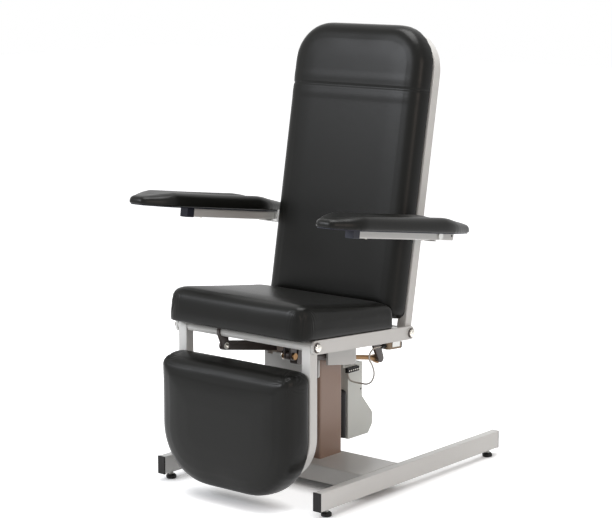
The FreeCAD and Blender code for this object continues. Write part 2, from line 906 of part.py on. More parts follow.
# Leg-rest frame: a square tube bent to a U, its ends drilled for the pivot bolts
def make_u_frame(label, half, foot, top, corner, place):
    """A square tube that runs down, round two bends and up again, in the XZ plane."""
    body = new_body(label)
    line = half - c.bar_size / 2
    low = foot + c.bar_size / 2
    bend = corner - c.bar_size / 2
    slack = bend * (1 - math.sqrt(0.5))
    spine = new_sketch(body, label + "_spine", "XZ_Plane")
    spine.addGeometry(Part.LineSegment(Vector(-line, top, 0), Vector(-line, low + bend, 0)))
    spine.addGeometry(Part.Arc(Vector(-line, low + bend, 0), Vector(slack - line, low + slack, 0),
                               Vector(bend - line, low, 0)))
    spine.addGeometry(Part.LineSegment(Vector(bend - line, low, 0), Vector(line - bend, low, 0)))
    spine.addGeometry(Part.Arc(Vector(line - bend, low, 0), Vector(line - slack, low + slack, 0),
                               Vector(line, low + bend, 0)))
    spine.addGeometry(Part.LineSegment(Vector(line, low + bend, 0), Vector(line, top, 0)))
    section = new_sketch(body, label + "_section", "XY_Plane", top)
    bore = c.bar_size - 2 * c.bar_wall
    for edge in corner_edges(rectangle(c.bar_size, c.bar_size, c.bar_corner, -line)):
        section.addGeometry(edge)
    for edge in corner_edges(rectangle(bore, bore, c.bar_corner - c.bar_wall, -line)):
        section.addGeometry(edge)
    pipe = body.newObject("PartDesign::AdditivePipe", label + "_tube")
    pipe.Profile = section
    pipe.Spine = (spine, [f"Edge{number}" for number in range(1, 6)])
    knuckle = [circle(0, top, c.bar_size)]
    for side, x in (("left", half - c.bar_size), ("right", -half)):
        padded(body, f"{label}_eye_{side}", "YZ_Plane", knuckle, "sheet.bar_size", offset=x)
    hole = [circle(0, top, c.bolt_diameter + 2 * c.bolt_play)]
    pocketed(body, label + "_bolt_hole", "YZ_Plane", hole)
    keep(body, label, place)


leg_place = Placement(leg_pivot, Rotation())
make_u_frame("leg_frame", c.frame_outer, c.leg_bottom - c.leg_pivot_z, 0.0, c.leg_corner, leg_place)


def lever_plate(body, name, x, thick, pin, root, tip, hole):
    """A lever that hangs from a hub at the origin down to a pin, with the pin's hole."""
    end = Vector(pin.y, pin.z, 0)
    outline = slot_outline(Vector(), end, root / 2, tip / 2)
    padded(body, name, "YZ_Plane", outline + [circle(end.x, end.y, hole)], thick, offset=x)


def make_leg_cross_tube():
    """The round tube between the leg frame's bars, with the lug that the drive link pulls."""
    body = new_body("leg_cross_tube")
    span = 2 * (c.frame_outer - c.bar_size - c.bolt_tail - c.nut_height - c.clip_gap)
    sleeve = [circle(0, 0, c.leg_tube), circle(0, 0, c.leg_tube - 2 * c.leg_tube_wall)]
    padded(body, "leg_tube", "YZ_Plane", sleeve, str(span), both_ways=True)
    ends = 2 * (c.frame_outer - c.bar_size)
    hollow = c.bolt_head + 2 * c.clip_gap
    cuff = [circle(0, 0, c.leg_tube), circle(0, 0, hollow)]
    cuff_length = str(ends / 2 - span / 2 + c.bar_size / 2)
    padded(body, "leg_cuff_left", "YZ_Plane", cuff, cuff_length, offset=span / 2 - c.bar_size / 2)
    padded(body, "leg_cuff_right", "YZ_Plane", cuff, cuff_length, offset=-ends / 2)
    hole = c.pin_diameter + 2 * c.pin_play
    lever_plate(body, "link_lug", -c.drive_x + c.link_thick / 2 + c.link_gap, "sheet.lug_thick",
                lug_pin - leg_pivot, c.lug_root, c.lug_tip, hole)
    pocketed(body, "leg_tube_bore", "YZ_Plane", [circle(0, 0, c.leg_tube - 2 * c.leg_tube_wall)])
    keep(body, "leg_cross_tube", leg_place)


make_leg_cross_tube()

# Leg pad, drawn in its own plane and stood up in front of the frame
leg_outline = [
    (-c.leg_pad_half, c.leg_pad_bottom, c.leg_pad_round),
    (c.leg_pad_half, c.leg_pad_bottom, c.leg_pad_round),
    (c.leg_pad_half, c.leg_pad_top, c.leg_pad_corner),
    (-c.leg_pad_half, c.leg_pad_top, c.leg_pad_corner),
]
facing_front = Rotation(X_AXIS, 90)
leg_pad_place = Placement(Vector(0, c.leg_pivot_y - c.bar_size / 2 - c.clip_gap, 0), facing_front)
make_padding("leg_board", "leg_cushion", leg_outline, c.leg_pad_thick, c.leg_pad_edge,
             c.leg_board_thick, c.leg_board_inset, leg_pad_place)


# Back frame and its pad
def make_back_frame():
    body = new_body("back_frame")
    line = c.frame_outer - c.bar_size / 2
    high = c.back_top - c.bar_size / 2
    bend = c.back_corner - c.bar_size / 2
    slack = bend * (1 - math.sqrt(0.5))
    spine = new_sketch(body, "back_spine", "XZ_Plane")
    spine.addGeometry(Part.LineSegment(Vector(-line, 0, 0), Vector(-line, high - bend, 0)))
    spine.addGeometry(Part.Arc(Vector(-line, high - bend, 0), Vector(slack - line, high - slack, 0),
                               Vector(bend - line, high, 0)))
    spine.addGeometry(Part.LineSegment(Vector(bend - line, high, 0), Vector(line - bend, high, 0)))
    spine.addGeometry(Part.Arc(Vector(line - bend, high, 0), Vector(line - slack, high - slack, 0),
                               Vector(line, high - bend, 0)))
    spine.addGeometry(Part.LineSegment(Vector(line, high - bend, 0), Vector(line, 0, 0)))
    section = new_sketch(body, "back_section", "XY_Plane")
    bore = c.bar_size - 2 * c.bar_wall
    for edge in corner_edges(rectangle(c.bar_size, c.bar_size, c.bar_corner, -line)):
        section.addGeometry(edge)
    for edge in corner_edges(rectangle(bore, bore, c.bar_corner - c.bar_wall, -line)):
        section.addGeometry(edge)
    pipe = body.newObject("PartDesign::AdditivePipe", "back_tube")
    pipe.Profile = section
    pipe.Spine = (spine, [f"Edge{number}" for number in range(1, 6)])
    knuckle = [circle(0, 0, c.bar_size)]
    for side, x in (("left", c.frame_outer - c.bar_size), ("right", -c.frame_outer)):
        padded(body, "back_eye_" + side, "YZ_Plane", knuckle, "sheet.bar_size", offset=x)
    hole = [circle(0, 0, c.bolt_diameter + 2 * c.bolt_play)]
    pocketed(body, "back_bolt_hole", "YZ_Plane", hole)
    keep(body, "back_frame", back_place)


make_back_frame()

back_outline = [
    (-c.back_pad_half, c.back_pad_foot, c.back_pad_foot_corner),
    (c.back_pad_half, c.back_pad_foot, c.back_pad_foot_corner),
    (c.back_pad_half, c.back_pad_top, c.back_pad_corner),
    (-c.back_pad_half, c.back_pad_top, c.back_pad_corner),
]
back_pad_place = back_place.multiply(
    Placement(Vector(0, -c.bar_size / 2 - c.clip_gap, 0), facing_front))


def headrest_groove():
    """The sewn seam across the pad below the headrest, as a shallow groove round front and sides."""
    front = c.back_pad_thick * (1 + crown_share)
    reach = c.back_pad_half + overrun
    bar = Part.makeBox(2 * reach, c.seam_width, front, Vector(-reach, c.headrest_seam, overrun))
    slim = cushion_form(inset_outline(back_outline, c.seam_depth), c.back_pad_thick - c.seam_depth,
                        c.back_pad_edge, c.bar_corner)
    return bar.cut(slim)


make_padding("back_board", "back_cushion", back_outline, c.back_pad_thick, c.back_pad_edge,
             c.back_board_thick, c.back_board_inset, back_pad_place, headrest_groove())


# Pivot shaft of the back, with the two levers that hang from it
def make_pivot_shaft():
    body = new_body("back_pivot_shaft")
    span = 2 * (c.frame_outer - c.bar_size)
    bore = c.hub_diameter - 2 * c.hub_wall
    padded(body, "shaft_tube", "YZ_Plane", [circle(0, 0, c.hub_diameter)], str(span), both_ways=True)
    hole = c.pin_diameter + 2 * c.pin_play
    lever_x = c.drive_x + c.rod_diameter / 2 + c.link_gap
    lever_plate(body, "recline_lever", lever_x, "sheet.lever_thick", lever_pin - back_pivot,
                c.lever_root, c.lever_tip, c.pin_diameter)
    link_x = -c.drive_x + c.link_thick / 2 + c.link_gap
    lever_plate(body, "link_lever", link_x, "sheet.lever_thick", link_lever_pin - back_pivot,
                c.lever_root, c.lever_tip, c.pin_diameter)
    pocketed(body, "shaft_bore", "YZ_Plane", [circle(0, 0, bore)])
    keep(body, "back_pivot_shaft", Placement(back_pivot, Rotation()))


make_pivot_shaft()


def cross_pin(x_from, x_to, place, collar_at):
    """A headed pin along X through a place in the YZ plane, with a collar at its free end."""
    shank = Part.makeCylinder(c.pin_diameter / 2, x_to - x_from, Vector(x_from, 0, 0), X_AXIS)
    head = Part.makeCylinder(c.pin_diameter * c.pin_head_share, c.link_gap * 2, Vector(collar_at, 0, 0), X_AXIS)
    pin = shank.fuse(head).removeSplitter()
    pin.translate(Vector(0, place.y, place.z))
    return pin.Solids[0]


def make_pins():
    """The pins of the link and of the recline drive."""
    lug_x = -c.drive_x + c.link_thick / 2 + c.link_gap
    far = lug_x + c.lug_thick
    near = -c.drive_x - c.link_thick / 2 - c.link_gap
    keep(feature("link_pin_front", cross_pin(near - 2 * c.link_gap, far, lug_pin,
                                             near - 2 * c.link_gap)), "link_pin_front")
    lever_x = c.drive_x + c.rod_diameter / 2 + c.link_gap
    rod_near = c.drive_x - c.rod_eye_thick / 2 - c.link_gap
    pins = [
        cross_pin(near - 2 * c.link_gap, far, link_lever_pin, near - 2 * c.link_gap),
        cross_pin(rod_near - 2 * c.link_gap, lever_x + c.lever_thick, lever_pin,
                  rod_near - 2 * c.link_gap),
    ]
    keep(feature("lever_pins", Part.makeCompound(pins)), "lever_pins")


make_pins()


def make_drive_link():
    """The flat bar from the leg rest's lug to the back's lever; its rear eye has play."""
    body = new_body("drive_link")
    end = Vector(link_span, 0, 0)
    outline = slot_outline(Vector(), end, c.link_height / 2, c.link_eye)
    holes = [
        circle(0, 0, c.pin_diameter + 2 * c.pin_play),
        circle(link_span + c.link_shift_along, c.link_shift_across, c.pin_diameter + 2 * c.link_eye_play),
    ]
    padded(body, "link_bar", "YZ_Plane", outline + holes, "sheet.link_thick", both_ways=True)
    keep(body, "drive_link", link_place)


make_drive_link()


def make_recline_drive():
    """Anchor lugs under the bearer, the drive's body with its gearbox, and its rod."""
    eye_half = c.actuator_eye_thick / 2
    lug_in = c.drive_x - eye_half - c.actuator_washer_thick - c.anchor_thick - c.clip_gap
    lug_out = c.drive_x + eye_half + c.actuator_washer_thick + c.clip_gap
    anchor = new_body("recline_anchor")
    top = on_seat(c.anchor_y + c.anchor_width / 2, bearer_low) - c.anchor_z
    half = c.anchor_width / 2
    hole = [circle(0, 0, c.pin_diameter + 2 * c.pin_play)]
    for name, x in (("inner", lug_in), ("outer", lug_out)):
        strap = [
            Part.LineSegment(Vector(-half, 0, 0), Vector(-half, top, 0)),
            Part.LineSegment(Vector(-half, top, 0), Vector(half, top - half / 8, 0)),
            Part.LineSegment(Vector(half, top - half / 8, 0), Vector(half, 0, 0)),
            Part.Arc(Vector(half, 0, 0), Vector(0, -half, 0), Vector(-half, 0, 0)),
        ]
        padded(anchor, "lug_" + name, "YZ_Plane", strap + hole, "sheet.anchor_thick", offset=x)
    keep(anchor, "recline_anchor", Placement(Vector(0, c.anchor_y, c.anchor_z), Rotation()))

    bush = c.pin_diameter * c.anchor_button_share
    shank = Part.makeCylinder(c.pin_diameter / 2, lug_out + c.anchor_thick - lug_in,
                              Vector(lug_in, 0, 0), X_AXIS)
    button = Part.makeCylinder(bush, c.anchor_thick, Vector(lug_out + c.anchor_thick, 0, 0), X_AXIS)
    knob = Part.makeCylinder(c.anchor_width / 2, c.actuator_washer_thick,
                             Vector(lug_in - c.actuator_washer_thick, 0, 0), X_AXIS)
    pin = shank.fuse(button).fuse(knob).removeSplitter()
    pin.translate(anchor_pin)
    keep(feature("recline_anchor_pin", pin.Solids[0]), "recline_anchor_pin")

    drive = new_body("recline_actuator")
    eye = slot_outline(Vector(), Vector(c.gearbox_start + c.gearbox_corner, 0, 0),
                       c.actuator_eye / 2, c.actuator_eye / 2 - c.clip_gap)
    padded(drive, "drive_eye", "YZ_Plane",
           eye + [circle(0, 0, c.pin_diameter + 2 * c.pin_play)], "sheet.actuator_eye_thick",
           both_ways=True)
    box_middle = c.gearbox_start + c.gearbox_length / 2
    case = rectangle(c.gearbox_length, c.gearbox_height, c.gearbox_corner, box_middle, 0)
    padded(drive, "gearbox", "YZ_Plane", corner_edges(case), "sheet.gearbox_width", both_ways=True)
    start = c.gearbox_start + c.gearbox_length
    padded(drive, "drive_tube", "XZ_Plane", [circle(0, 0, c.actuator_tube)],
           f"{c.actuator_reach - start}", offset=-start, turned=True)
    bore_from = start + c.actuator_bore_end
    pocketed(drive, "drive_bore", "XZ_Plane", [circle(0, 0, c.rod_diameter + 2 * c.rod_play)],
             offset=-bore_from, length=f"{c.actuator_reach - bore_from}", turned=False)
    keep(drive, "recline_actuator", actuator_place)

    rod = new_body("recline_rod")
    rod_from = c.actuator_reach - c.rod_inside + c.rod_diameter
    neck = actuator_span + c.rod_shift_along - c.rod_eye / 2 + c.clip_gap
    padded(rod, "rod_bar", "XZ_Plane", [circle(0, 0, c.rod_diameter)], f"{neck - rod_from}",
           offset=-rod_from, turned=True)
    centre = Vector(actuator_span + c.rod_shift_along, c.rod_shift_across, 0)
    eye = slot_outline(centre, Vector(neck - c.rod_eye / 2, 0, 0), c.rod_eye / 2, c.rod_diameter / 2)
    padded(rod, "rod_eye", "YZ_Plane", eye + [circle(centre.x, centre.y, c.rod_eye_hole)],
           "sheet.rod_eye_thick", both_ways=True)
    keep(rod, "recline_rod", actuator_place)


make_recline_drive()


# Lift gear head and the drive's housing behind the column
def make_lift_drive():
    gear = new_body("lift_gear_head")
    rear = c.column_y + c.gear_rear + c.gear_neck_depth
    neck = rear - c.gear_neck_depth
    top = head_top + c.gear_height
    profile = [
        (c.column_y - c.gear_front, head_top, 0),
        (neck, head_top, 0),
        (neck, c.flange_top, 0),
        (rear, c.flange_top, 0),
        (rear, top, c.gear_corner),
        (c.column_y - c.gear_front, top, c.gear_corner),
    ]
    padded(gear, "gear_case", "YZ_Plane", corner_edges(profile), "sheet.gear_width", offset=c.gear_left)
    flange_y = (c.flange_front + c.flange_rear) / 2 + c.column_y
    flange = rectangle(c.flange_width, c.flange_rear - c.flange_front, c.gear_corner,
                       c.flange_left + c.flange_width / 2, flange_y)
    near = c.flange_left + c.flange_hole_inset
    far = c.flange_left + c.flange_width - c.flange_hole_inset
    back = c.column_y + c.flange_rear - c.flange_hole_inset
    holes = [circle(near, back, c.flange_hole), circle(far, back, c.flange_hole)]
    padded(gear, "mount_flange", "XY_Plane", corner_edges(flange) + holes, "sheet.flange_thick",
           offset=c.flange_top - c.flange_thick)
    keep(gear, "lift_gear_head")

    roof = c.flange_top - c.flange_thick
    shell = [
        (c.motor_front, c.motor_foot, c.motor_wall),
        (c.motor_heel_y, c.motor_foot, c.motor_wall * 2),
        (c.motor_belly_y, c.motor_foot + (c.motor_belly_z - c.motor_foot) / 2, c.gear_corner * 2),
        (c.motor_belly_y, c.motor_belly_z + c.gear_corner, c.gear_corner * 3),
        (c.motor_neck_rear, c.motor_shoulder_z, c.gear_corner),
        (c.motor_neck_rear, roof, 0),
        (c.motor_front, roof, 0),
    ]
    housing = new_body("lift_motor_housing")
    padded(housing, "housing_block", "YZ_Plane", corner_edges(shell), "sheet.flange_width",
           offset=c.flange_left)
    cavity = inset_outline(shell, c.motor_wall)
    cavity = [(y, z, max(radius, 0.0)) for y, z, radius in cavity]
    pocketed(housing, "housing_cavity", "YZ_Plane", corner_edges(cavity), offset=c.flange_left,
             length="sheet.flange_width - sheet.motor_wall", turned=True)
    keep(housing, "lift_motor_housing")
    cover = new_body("lift_motor_cover")
    padded(cover, "cover_plate", "YZ_Plane", corner_edges(shell), "sheet.motor_cover_thick",
           offset=c.flange_left - c.motor_cover_thick)
    keep(cover, "lift_motor_cover")
    radius = c.motor_diameter / 2
    middle_y = c.motor_front + c.motor_wall + radius + c.clip_gap
    middle_x = c.flange_left + c.flange_width / 2 - c.motor_wall / 2
    keep(revolved("lift_motor", [
        (0, c.motor_foot + c.motor_wall + c.clip_gap, 0),
        (radius, c.motor_foot + c.motor_wall + c.clip_gap, 0),
        (radius, c.motor_foot + c.motor_wall + c.motor_length, c.gear_corner),
        (radius / 3, c.motor_foot + c.motor_wall + c.motor_length, 0),
        (radius / 3, roof - c.motor_wall, 0),
        (0, roof - c.motor_wall, 0),
    ]), "lift_motor", Placement(Vector(middle_x, middle_y, 0), Rotation()))

    block_x = c.flange_left + c.flange_width
    block_y = c.column_y + c.flange_front + c.terminal_pin
    block_z = roof - c.terminal_height
    block = new_body("terminal_block")
    outline = rectangle(c.terminal_length, c.terminal_height, c.motor_wall / 2,
                        block_y + c.terminal_length / 2, block_z + c.terminal_height / 2)
    padded(block, "block", "YZ_Plane", corner_edges(outline), "sheet.terminal_thick", offset=block_x)
    pitch = c.terminal_length / c.terminal_pins
    ports = []
    for number in range(int(c.terminal_pins)):
        centre = block_y + pitch * (number + 0.5)
        ports += corner_edges(rectangle(c.terminal_pin, c.terminal_pin, 0, centre,
                                        block_z + c.terminal_height / 2))
    pocketed(block, "ports", "YZ_Plane", ports, offset=block_x + c.terminal_thick,
             length="sheet.terminal_pin", turned=False)
    keep(block, "terminal_block")
    return Vector(block_x + c.terminal_thick / 2, block_y + c.terminal_pin, block_z)


cable_exit = make_lift_drive()


# Hand control parked in a clip under the left rail
def make_hand_control():
    low = -c.rail_height / 2 - c.clip_thick - c.hand_height - c.clip_gap
    middle_y = c.hand_rear - c.hand_length / 2
    middle_x = c.hand_outer - c.hand_width / 2
    shell = new_body("hand_control")
    outline = rectangle(c.hand_width, c.hand_length, c.hand_corner, middle_x, middle_y)
    padded(shell, "shell", "XY_Plane", corner_edges(outline), "sheet.hand_height", offset=low)
    front = c.hand_rear - c.hand_length
    places = [front + c.button_first + c.button_pitch * number for number in range(4)]
    wells = [circle(middle_x, y, c.button_diameter + 2 * c.button_play) for y in places]
    pocketed(shell, "button_wells", "XY_Plane", wells, offset=low, length="sheet.button_pocket",
             turned=True)
    keep(shell, "hand_control", seat_place)
    for name, y in zip(("up", "down", "recline", "raise"), places):
        radius = c.button_diameter / 2
        outline = [
            (0, -c.button_proud, 0),
            (radius, -c.button_proud, c.button_proud / 3),
            (radius, c.button_height - c.button_proud - c.button_proud / 2, 0),
            (0, c.button_height - c.button_proud - c.button_proud / 2, 0),
        ]
        keep(revolved("button_" + name, outline), "button_" + name,
             seat_place.multiply(Placement(Vector(middle_x, y, low), Rotation())))
    clip = new_body("hand_control_clip")
    plate_low = -c.rail_height / 2 - c.clip_thick
    lip_x = c.hand_outer + c.clip_gap
    left = c.hand_outer - c.hand_width
    hook = [
        (left - c.clip_gap - c.clip_thick, plate_low + c.clip_thick, 0),
        (left - c.clip_gap - c.clip_thick, plate_low - c.clip_lip, 0),
        (left - c.clip_gap, plate_low - c.clip_lip, 0),
        (left - c.clip_gap, plate_low, 0),
        (lip_x, plate_low, 0),
        (lip_x, plate_low - c.clip_lip, 0),
        (lip_x + c.clip_thick, plate_low - c.clip_lip, 0),
        (lip_x + c.clip_thick, plate_low, 0),
        (c.rail_outer, plate_low, 0),
        (c.rail_outer, plate_low + c.clip_thick, 0),
    ]
    padded(clip, "clip_strip", "XZ_Plane", corner_edges(hook), "sheet.clip_length",
           offset=-(middle_y + c.clip_length / 2))
    keep(clip, "hand_control_clip", seat_place)
    boot_z = low + c.hand_height / 2
    boot = Part.makeCone(c.boot_diameter / 2, c.boot_tip / 2, c.boot_length,
                         Vector(middle_x, front, boot_z), -Y_AXIS)
    keep(feature("hand_control_boot", boot), "hand_control_boot", seat_place)
    return seat_place.multVec(Vector(middle_x, front - c.boot_length, boot_z))


cable_end = make_hand_control()

# Cable from the terminal block to the hand control, on a route chosen by hand
cable_route = [
    cable_exit,
    Vector(63.5, 27, 270),
    Vector(69, 34, 261),
    Vector(81, 42, 258),
    Vector(98, 43.5, 257.5),
    Vector(120, 38, 259.5),
    Vector(145, 26, 271),
    Vector(166, 9, 290),
    Vector(182, -8, 309),
    Vector(197, -33, 331),
    Vector(209, -57, 350),
    Vector(216, -74, 361),
    Vector(220.5, -83, 375),
    Vector(223, -77, 390),
    Vector(224.5, -60, cable_end.z + 2),
    cable_end,
]


def make_cord(label, route, diameter):
    """A tube along straight runs joined by the largest tangent arcs that the runs allow."""
    turn_share = 0.45
    edges = []
    radii = []
    start = route[0]
    for before, here, after in zip(route, route[1:], route[2:]):
        back = before - here
        ahead = after - here
        turn = math.pi - back.getAngle(ahead)
        reach = turn_share * min(back.Length, ahead.Length)
        radius = reach / math.tan(turn / 2)
        radii.append(radius)
        back.normalize()
        ahead.normalize()
        middle = (back + ahead).normalize()
        centre = here + middle * (radius / math.cos(turn / 2))
        edges.append(Part.LineSegment(start, here + back * reach).toShape())
        edges.append(Part.Arc(here + back * reach, centre - middle * radius,
                              here + ahead * reach).toShape())
        start = here + ahead * reach
    edges.append(Part.LineSegment(start, route[-1]).toShape())
    spine = Part.Wire(edges)
    first = (route[1] - route[0]).normalize()
    ring = Part.Wire([Part.Circle(route[0], first, diameter / 2).toShape()])
    tube = spine.makePipeShell([ring], True, True)
    expected = math.pi * diameter ** 2 / 4 * spine.Length
    print(f"{label}: length {spine.Length:.0f}, radii {min(radii):.1f} to {max(radii):.1f},"
          f" volume share {tube.Volume / expected:.4f}")
    keep(feature(label, tube), label)


make_cord("control_cable", cable_route, c.cable_diameter)


# Arms: a flat tube, a board and a pad on a pivot at each side of the back
def make_bracket(label, side):
    """A plate on the back's upright with the pivot's boss and the ledge that the arm rests on."""
    body = new_body(label)
    plate = rectangle(c.bracket_depth, c.bracket_height, c.bar_corner, 0, -c.bracket_drop)
    inner = c.frame_outer
    start = inner if side > 0 else -inner - c.bracket_thick
    hole = circle(0, 0, c.bolt_diameter)
    padded(body, label + "_plate", "YZ_Plane", corner_edges(plate), "sheet.bracket_thick", offset=start)
    boss_length = c.arm_tube_inner - c.bracket_gap - inner
    boss_start = inner if side > 0 else -inner - boss_length
    padded(body, label + "_boss", "YZ_Plane", [circle(0, 0, c.boss_diameter)], str(boss_length),
           offset=boss_start)
    shelf_top = -c.arm_tube_height / 2 - c.bracket_gap
    shelf = rectangle(c.ledge_length, c.ledge_thick, 0, -c.ledge_start - c.ledge_length / 2,
                      shelf_top - c.ledge_thick / 2)
    reach = c.ledge_reach
    shelf_start = inner if side > 0 else -inner - reach
    padded(body, label + "_ledge", "YZ_Plane", corner_edges(shelf), "sheet.ledge_reach",
           offset=shelf_start)
    web_foot = -c.bracket_drop - c.bracket_height / 2
    web = [
        (-c.bracket_depth / 2, shelf_top - c.ledge_thick, 0),
        (-c.ledge_start - c.ledge_length, shelf_top - c.ledge_thick, 0),
        (-c.bracket_depth / 2, web_foot + c.bar_corner, 0),
    ]
    padded(body, label + "_web", "YZ_Plane", corner_edges(web), "sheet.ledge_thick",
           offset=inner if side > 0 else -inner - c.ledge_thick)
    keep(body, label, arm_place)


def arm_outline():
    """The pad's plan, from its narrow front tip to its narrow tail; -Y is forwards."""
    return [
        (-c.arm_pad_tip_half, -c.arm_pad_front, c.arm_pad_corner),
        (c.arm_pad_tip_half, -c.arm_pad_front, c.arm_pad_corner),
        (c.arm_pad_half, -c.arm_pad_shoulder, c.arm_pad_shoulder_round),
        (c.arm_pad_half, -c.arm_pad_hip, c.arm_pad_shoulder_round),
        (c.arm_pad_tail_half, c.arm_pad_rear, c.arm_pad_corner),
        (-c.arm_pad_tail_half, c.arm_pad_rear, c.arm_pad_corner),
        (-c.arm_pad_half, -c.arm_pad_hip, c.arm_pad_shoulder_round),
        (-c.arm_pad_half, -c.arm_pad_shoulder, c.arm_pad_shoulder_round),
    ]


# Shares of the arm pad's thickness taken by its edge rounding, and of its tip's half width
arm_edge_share = 0.42
arm_crown_share = 1.2


def make_arm(name, side):
    middle = side * (c.arm_tube_inner + c.arm_tube_width / 2)
    tube = new_body("arm_tube_" + name)
    wall = c.arm_tube_wall
    section = corner_edges(rectangle(c.arm_tube_width, c.arm_tube_height, c.arm_tube_corner, middle))
    section += corner_edges(rectangle(c.arm_tube_width - 2 * wall, c.arm_tube_height - 2 * wall,
                                      c.arm_tube_corner - wall, middle))
    padded(tube, "arm_wall_" + name, "XZ_Plane", section,
           "sheet.arm_tube_front + sheet.arm_tube_rear", offset=-c.arm_tube_rear)
    sleeve = [circle(0, 0, c.boss_diameter - 2 * c.bar_corner)]
    start = middle - c.arm_tube_width / 2
    padded(tube, "arm_sleeve_" + name, "YZ_Plane", sleeve, "sheet.arm_tube_width", offset=start)
    cap = rectangle(c.arm_tube_width - wall, c.arm_tube_height - wall, 0, middle)
    padded(tube, "arm_end_" + name, "XZ_Plane", corner_edges(cap), "sheet.arm_tube_wall",
           offset=-c.arm_tube_rear)
    hole = [circle(0, 0, c.bolt_diameter + 2 * c.bolt_play)]
    pocketed(tube, "arm_bore_" + name, "YZ_Plane", hole)
    keep(tube, "arm_tube_" + name, arm_place)

    plug = new_body("arm_plug_" + name)
    over = c.arm_plug_over
    sleeve = rectangle(c.arm_tube_width + 2 * over, c.arm_tube_height + over, c.arm_plug_corner, middle,
                       -over / 2)
    padded(plug, "plug_sleeve_" + name, "XZ_Plane", corner_edges(sleeve), "sheet.arm_plug_length",
           offset=c.arm_tube_front)
    fit = wall + c.arm_plug_fit
    tongue = rectangle(c.arm_tube_width - 2 * fit, c.arm_tube_height - 2 * fit,
                       c.arm_tube_corner - wall, middle)
    padded(plug, "plug_tongue_" + name, "XZ_Plane", corner_edges(tongue), "sheet.arm_plug_insert",
           offset=c.arm_tube_front - c.arm_plug_insert)
    keep(plug, "arm_plug_" + name, arm_place)

    pad_x = side * c.arm_pad_middle
    lift = c.arm_tube_height / 2
    pad_place = arm_place.multiply(Placement(Vector(pad_x, 0, lift), Rotation()))
    floor = c.bar_corner
    board = board_shape(arm_outline(), c.arm_board_inset, c.arm_board_thick, floor)
    keep(feature("arm_board_" + name, board), "arm_board_" + name, pad_place)
    form = cushion_form(arm_outline(), c.arm_pad_thick, c.arm_pad_thick * arm_edge_share, floor,
                        crown_limit=c.arm_pad_tip_half * arm_crown_share)
    form.translate(Vector(0, 0, c.arm_board_thick + c.pocket_gap))
    keep(feature("arm_pad_" + name, form), "arm_pad_" + name, pad_place)


make_bracket("arm_bracket_left", 1)
make_bracket("arm_bracket_right", -1)
make_arm("left", 1)
make_arm("right", -1)


def make_arm_bolts():
    """The two pivot bolts of the arms, fixed in the brackets' bosses."""
    bolts = []
    for side in (-1, 1):
        outer = c.arm_tube_inner + c.arm_tube_width + c.bracket_gap
        shank = Part.makeCylinder(c.bolt_diameter / 2, outer - c.arm_tube_inner + c.bracket_gap,
                                  Vector(0, 0, c.arm_tube_inner - c.bracket_gap))
        head = Part.makeCylinder(c.bolt_head / 2, c.nut_height / 2, Vector(0, 0, outer))
        bolt = lying(shank.fuse(head).removeSplitter(), side)
        bolts.append(bolt.Solids[0])
    keep(feature("arm_pivot_bolts", Part.makeCompound(bolts)), "arm_pivot_bolts", arm_place)


make_arm_bolts()

# Check every object, then write each sub-part
doc.recompute()
for obj in doc.Objects:
    if any(state in ("Invalid", "Error") for state in obj.State):
        raise RuntimeError(f"{obj.Label} failed: {obj.State}")
os.makedirs("parts", exist_ok=True)
for obj in nodes:
    if obj.Shape.isNull() or not obj.Shape.isValid() or not obj.Shape.Solids:
        raise RuntimeError(f"{obj.Label} has no valid solid")
for obj in nodes:
    obj.Shape.exportStep(f"parts/{obj.Label}.step")
print(len(nodes), "sub-parts written")
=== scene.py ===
import bpy
import numpy
import bmesh
import math
from mathutils import Matrix, Vector


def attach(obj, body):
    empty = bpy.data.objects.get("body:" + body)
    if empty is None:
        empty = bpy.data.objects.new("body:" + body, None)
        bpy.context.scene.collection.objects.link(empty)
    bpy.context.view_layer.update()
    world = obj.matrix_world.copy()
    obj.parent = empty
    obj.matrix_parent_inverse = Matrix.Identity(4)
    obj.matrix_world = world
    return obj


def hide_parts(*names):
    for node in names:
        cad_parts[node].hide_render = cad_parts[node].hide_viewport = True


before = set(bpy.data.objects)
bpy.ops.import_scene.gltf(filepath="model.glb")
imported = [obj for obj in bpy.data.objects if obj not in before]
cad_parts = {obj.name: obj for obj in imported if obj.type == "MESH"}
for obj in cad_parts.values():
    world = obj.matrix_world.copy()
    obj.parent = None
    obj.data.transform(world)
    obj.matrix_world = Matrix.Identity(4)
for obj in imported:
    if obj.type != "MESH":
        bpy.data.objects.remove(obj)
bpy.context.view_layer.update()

# Camera
# It stands where the photographer stood: in front of the chair, a little to the sitter's left,
# at about standing eye height, with a long lens.
CAMERA_PLACE = (3.33124, -4.1247, 1.52725)
CAMERA_YAW = 39.5
CAMERA_DIP = 9.84
CAMERA_LENS = 113.3
camera_data = bpy.data.cameras.new("camera")
camera_data.lens = CAMERA_LENS
camera_data.sensor_width = 36.0
camera = bpy.data.objects.new("camera", camera_data)
camera.location = CAMERA_PLACE
camera.rotation_euler = (math.radians(90 - CAMERA_DIP), 0, math.radians(CAMERA_YAW))
bpy.context.collection.objects.link(camera)
bpy.context.scene.camera = camera

# Hand control cable
# A thin round PVC-sheathed control cable. It leaves the terminal block on the lift motor, hangs
# in a loop beside the column and climbs to the rubber boot of the hand control.
MM = 0.001
CABLE_DIAMETER = 0.0045
CABLE_ROUTE = [
    (62.5, 25.0, 286.0), (63.5, 27, 270), (69, 34, 261), (81, 42, 258), (98, 43.5, 257.5),
    (120, 38, 259.5), (145, 26, 271), (166, 9, 290), (182, -8, 309), (197, -33, 331),
    (209, -57, 350), (216, -74, 361), (220.5, -83, 375), (223, -77, 390), (224.5, -60, 397.1),
    (225, -35.8, 395.1),
]


